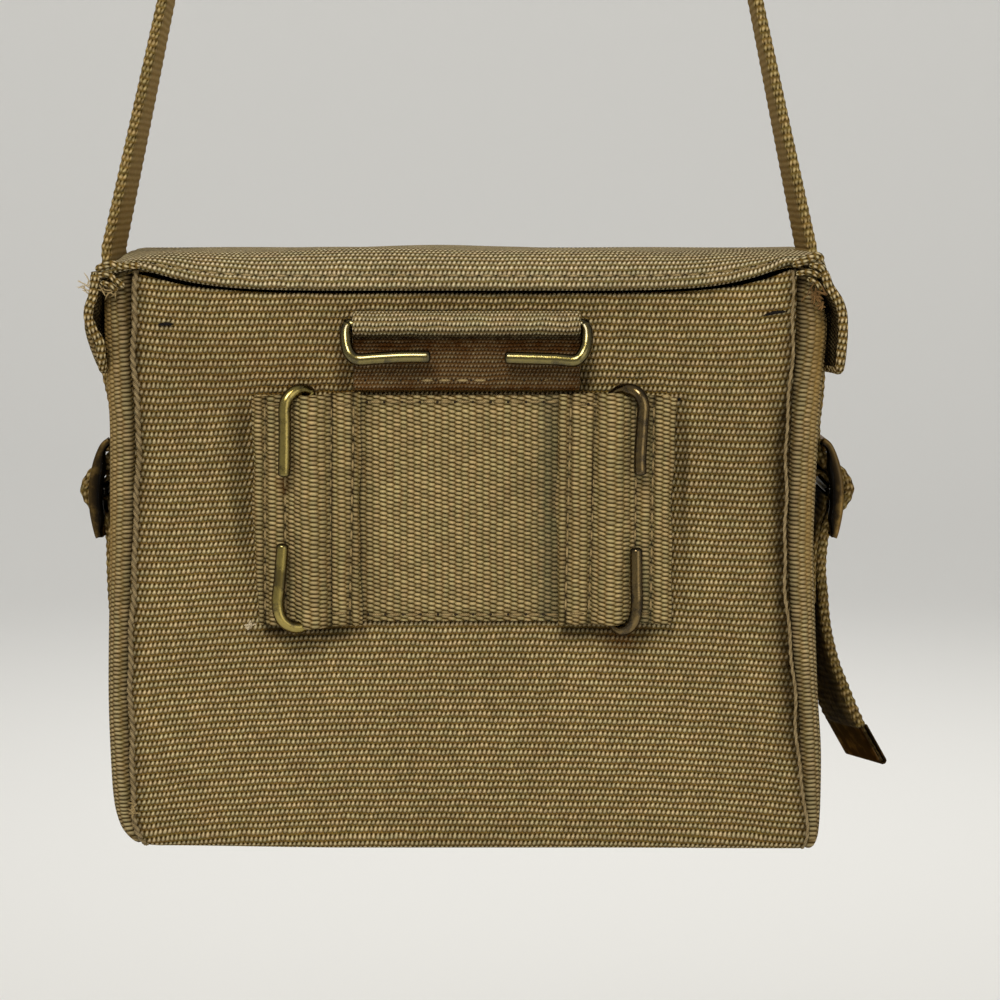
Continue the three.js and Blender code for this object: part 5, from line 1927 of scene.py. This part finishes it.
@dataclass(frozen=True)
class Studio:
    """Pale floor that sweeps up into a bowl, soft lights and the camera."""

    floor_drop: float = 0.32
    bowl_radius: float = 3.6
    bowl_height: float = 1.4
    bend: float = 1.2
    camera_place: Place = (8.5, -681.65, 163.86)
    camera_tilt: float = 83.2
    lens: float = 93.6
    paint: Colour = (236, 236, 234)
    air: Colour = (255, 253, 250)
    air_strength: float = 0.33

    def build(self) -> None:
        """Build floor, lights and camera."""
        self.build_floor()
        self.build_lights()
        self.build_camera()

    def build_floor(self) -> None:
        """Bowl: a profile of a flat disc, a quarter circle and a wall, turned about z."""
        low = CASE_ORIGIN[2] * MM - self.floor_drop
        turn = np.linspace(0, QUARTER, 24)
        flat = np.linspace(0.02, self.bowl_radius - self.bend, 20)
        reach = np.concatenate([flat, flat[-1] + self.bend * np.sin(turn[1:]), [self.bowl_radius]])
        rise = np.concatenate([0 * flat, self.bend * (1 - np.cos(turn[1:])), [self.bowl_height]])
        angle = np.linspace(0, 2 * np.pi, 96, endpoint=False)
        x, y = reach[:, None] * np.cos(angle), reach[:, None] * np.sin(angle)
        points = np.stack(np.broadcast_arrays(x, y, low + rise[:, None]), -1)
        index = np.arange(points.shape[0] * 96).reshape(-1, 96)
        faces = grid_faces(np.pad(index, ((0, 0), (0, 1)), mode="wrap"))
        mesh = bpy.data.meshes.new("floor_sweep")
        mesh.from_pydata(points.reshape(-1, 3), [], [*faces.tolist(), index[0].tolist()[::-1]])
        mesh.polygons.foreach_set("use_smooth", np.ones(len(mesh.polygons), bool))
        material = bpy.data.materials.new("floor_paint")
        material.use_nodes = True
        shader = material.node_tree.nodes["Principled BSDF"]
        shader.inputs["Base Color"].default_value = (*linear(*self.paint), 1)
        shader.inputs["Roughness"].default_value = 0.9
        mesh.materials.append(material)
        linked("floor_sweep", mesh)

    def build_lights(self) -> None:
        """Soft key from above and left, a weak fill from the right, and pale air."""
        centre = np.array((0, 0, CASE_ORIGIN[2] + SHAPE.lid_top / 2)) * MM
        lamps = (
            ("key_light", (-0.25, -1.25, 1.12), (0, 0, 0), 0.6, 18.3, linear(255, 250, 240)),
            ("fill_light", (0.9, -1.2, 0.25), (0, 0, 0), 1.0, 3.3, linear(255, 250, 240)),
            ("far_light", (0.3, 1.5, 1.2), (0, 0, 0), 1.2, 9.0, linear(255, 252, 246)),
            ("wall_light", (0, 0.9, 1.5), (0, 3.6, 0.5), 1.6, 20.0, linear(255, 254, 252)),
        )
        for name, offset, target, size, power, colour in lamps:
            light = bpy.data.lights.new(name, "AREA")
            light.size, light.energy, light.color = size, power, colour
            lamp = linked(name, light)
            lamp.location = centre + np.array(offset)
            aim = Vector(np.array(target) - offset)
            lamp.rotation_euler = aim.to_track_quat("-Z", "Y").to_euler()
        world = bpy.data.worlds.new("pale_air")
        world.use_nodes = True
        background = world.node_tree.nodes["Background"]
        background.inputs["Color"].default_value = (*linear(*self.air), 1)
        background.inputs["Strength"].default_value = self.air_strength
        bpy.context.scene.world = world
        bpy.context.scene.view_settings.view_transform = "Standard"

    def build_camera(self) -> None:
        """Camera at the photograph's place, tilted a little down."""
        data = bpy.data.cameras.new("camera")
        data.sensor_width, data.lens = 36.0, self.lens
        data.clip_start, data.clip_end = 0.01, 50.0
        camera = linked("camera", data)
        camera.location = (np.array(self.camera_place) + CASE_ORIGIN) * MM
        camera.rotation_euler = (np.radians(self.camera_tilt), 0, 0)
        bpy.context.scene.camera = camera


def belt_hooks() -> list[WireHook]:
    """The two upright hooks and the upper one, with their routes as the photograph shows."""
    spine, prong = -41.85, -46.05
    upper_spine, upper_prong = -41.65, -45.35
    left = WireHook(
        "wire_hook_left", "belt_hook_left", WIRE_BRASS,
        (
            (-44.6, prong, 93.8), (-44.4, prong, 100), (-44.3, prong, 107), (-44.3, prong, 110.4),
            (-43.7, prong + 0.4, 113), (-41.5, -44.4, 114.9), (-39.2, spine - 0.6, 114.6),
            (-38.3, spine, 111), (-38.3, spine, 84), (-38.3, spine, 61), (-39.0, spine - 0.5, 57.4),
            (-41.8, -44.2, 56.0), (-45.2, prong + 0.3, 57.8), (-46.5, prong, 62), (-45.9, prong, 68.2),
            (-45.1, prong, 77.2),
        ),
        (0.53, -0.85, 0),
    )
    right = WireHook(
        "wire_hook_right", "belt_hook_right", WIRE_BRONZE,
        (
            (43.0, prong, 94.2), (43.0, prong, 100), (43.5, prong, 108), (43.6, prong, 111.6),
            (42.4, prong + 0.5, 114.3), (39.8, -44, 115.2), (37.2, spine - 0.4, 114.0),
            (36.4, spine, 110.5), (36.4, spine, 84), (36.4, spine, 60), (36.8, spine - 0.5, 56.8),
            (38.8, -44, 55.3), (41.3, prong + 0.3, 57.2), (42.3, prong, 61.5), (42.2, prong, 68),
            (42.1, prong, 76.2),
        ),
        (0.53, 0.85, 0),
    )
    top = WireHook(
        "wire_hook_top", "top_hook", TOP_BRASS_SHADED,
        (
            (-8.5, upper_prong, 123.3), (-15, upper_prong, 123.3), (-22, upper_prong, 122.9),
            (-26.5, upper_prong, 122.7), (-28.5, upper_prong + 0.3, 124.3), (-29.3, -43.6, 127.2),
            (-29.0, upper_spine - 0.6, 130.4), (-26, upper_spine, 131), (0.3, upper_spine, 131),
            (26.6, upper_spine, 131), (29.4, upper_spine - 0.6, 130.4), (29.8, -43.6, 127),
            (28.8, upper_prong + 0.3, 124.0), (26.8, upper_prong, 122.4), (22, upper_prong, 122.7),
            (9.6, upper_prong, 123.1),
        ),
        (0, -0.91, -0.41),
    )
    return [left, right, top]


def main() -> None:
    """Build the pieces in order, then the studio."""
    logging.basicConfig(level=logging.INFO, format="%(name)s %(message)s")
    CaseBody().build()
    Lid().build()
    BeltPanel().build()
    left_lines = ((-49.5, -50.0), (-44.6, -44.9), (-33.2, -34.0), (-27.6, -28.9))
    right_lines = ((26.0, 24.8), (32.5, 30.6), (42.3, 41.9), (46.5, 46.0))
    HookTab(Side.LEFT, -38.3, left_lines, inner_reach=0.7).build()
    HookTab(Side.RIGHT, 36.4, right_lines, bottom_lift=0.5).build()
    TopTab().build()
    for hook in belt_hooks():
        hook.build()
    Strap().build()
    Buckle(Side.LEFT, push=0.4, wear=0.35).build()
    Buckle(Side.RIGHT, push=0.0, wear=0.8).build()
    Wear().build()
    Studio().build()


if __name__ == "__main__":
    main()
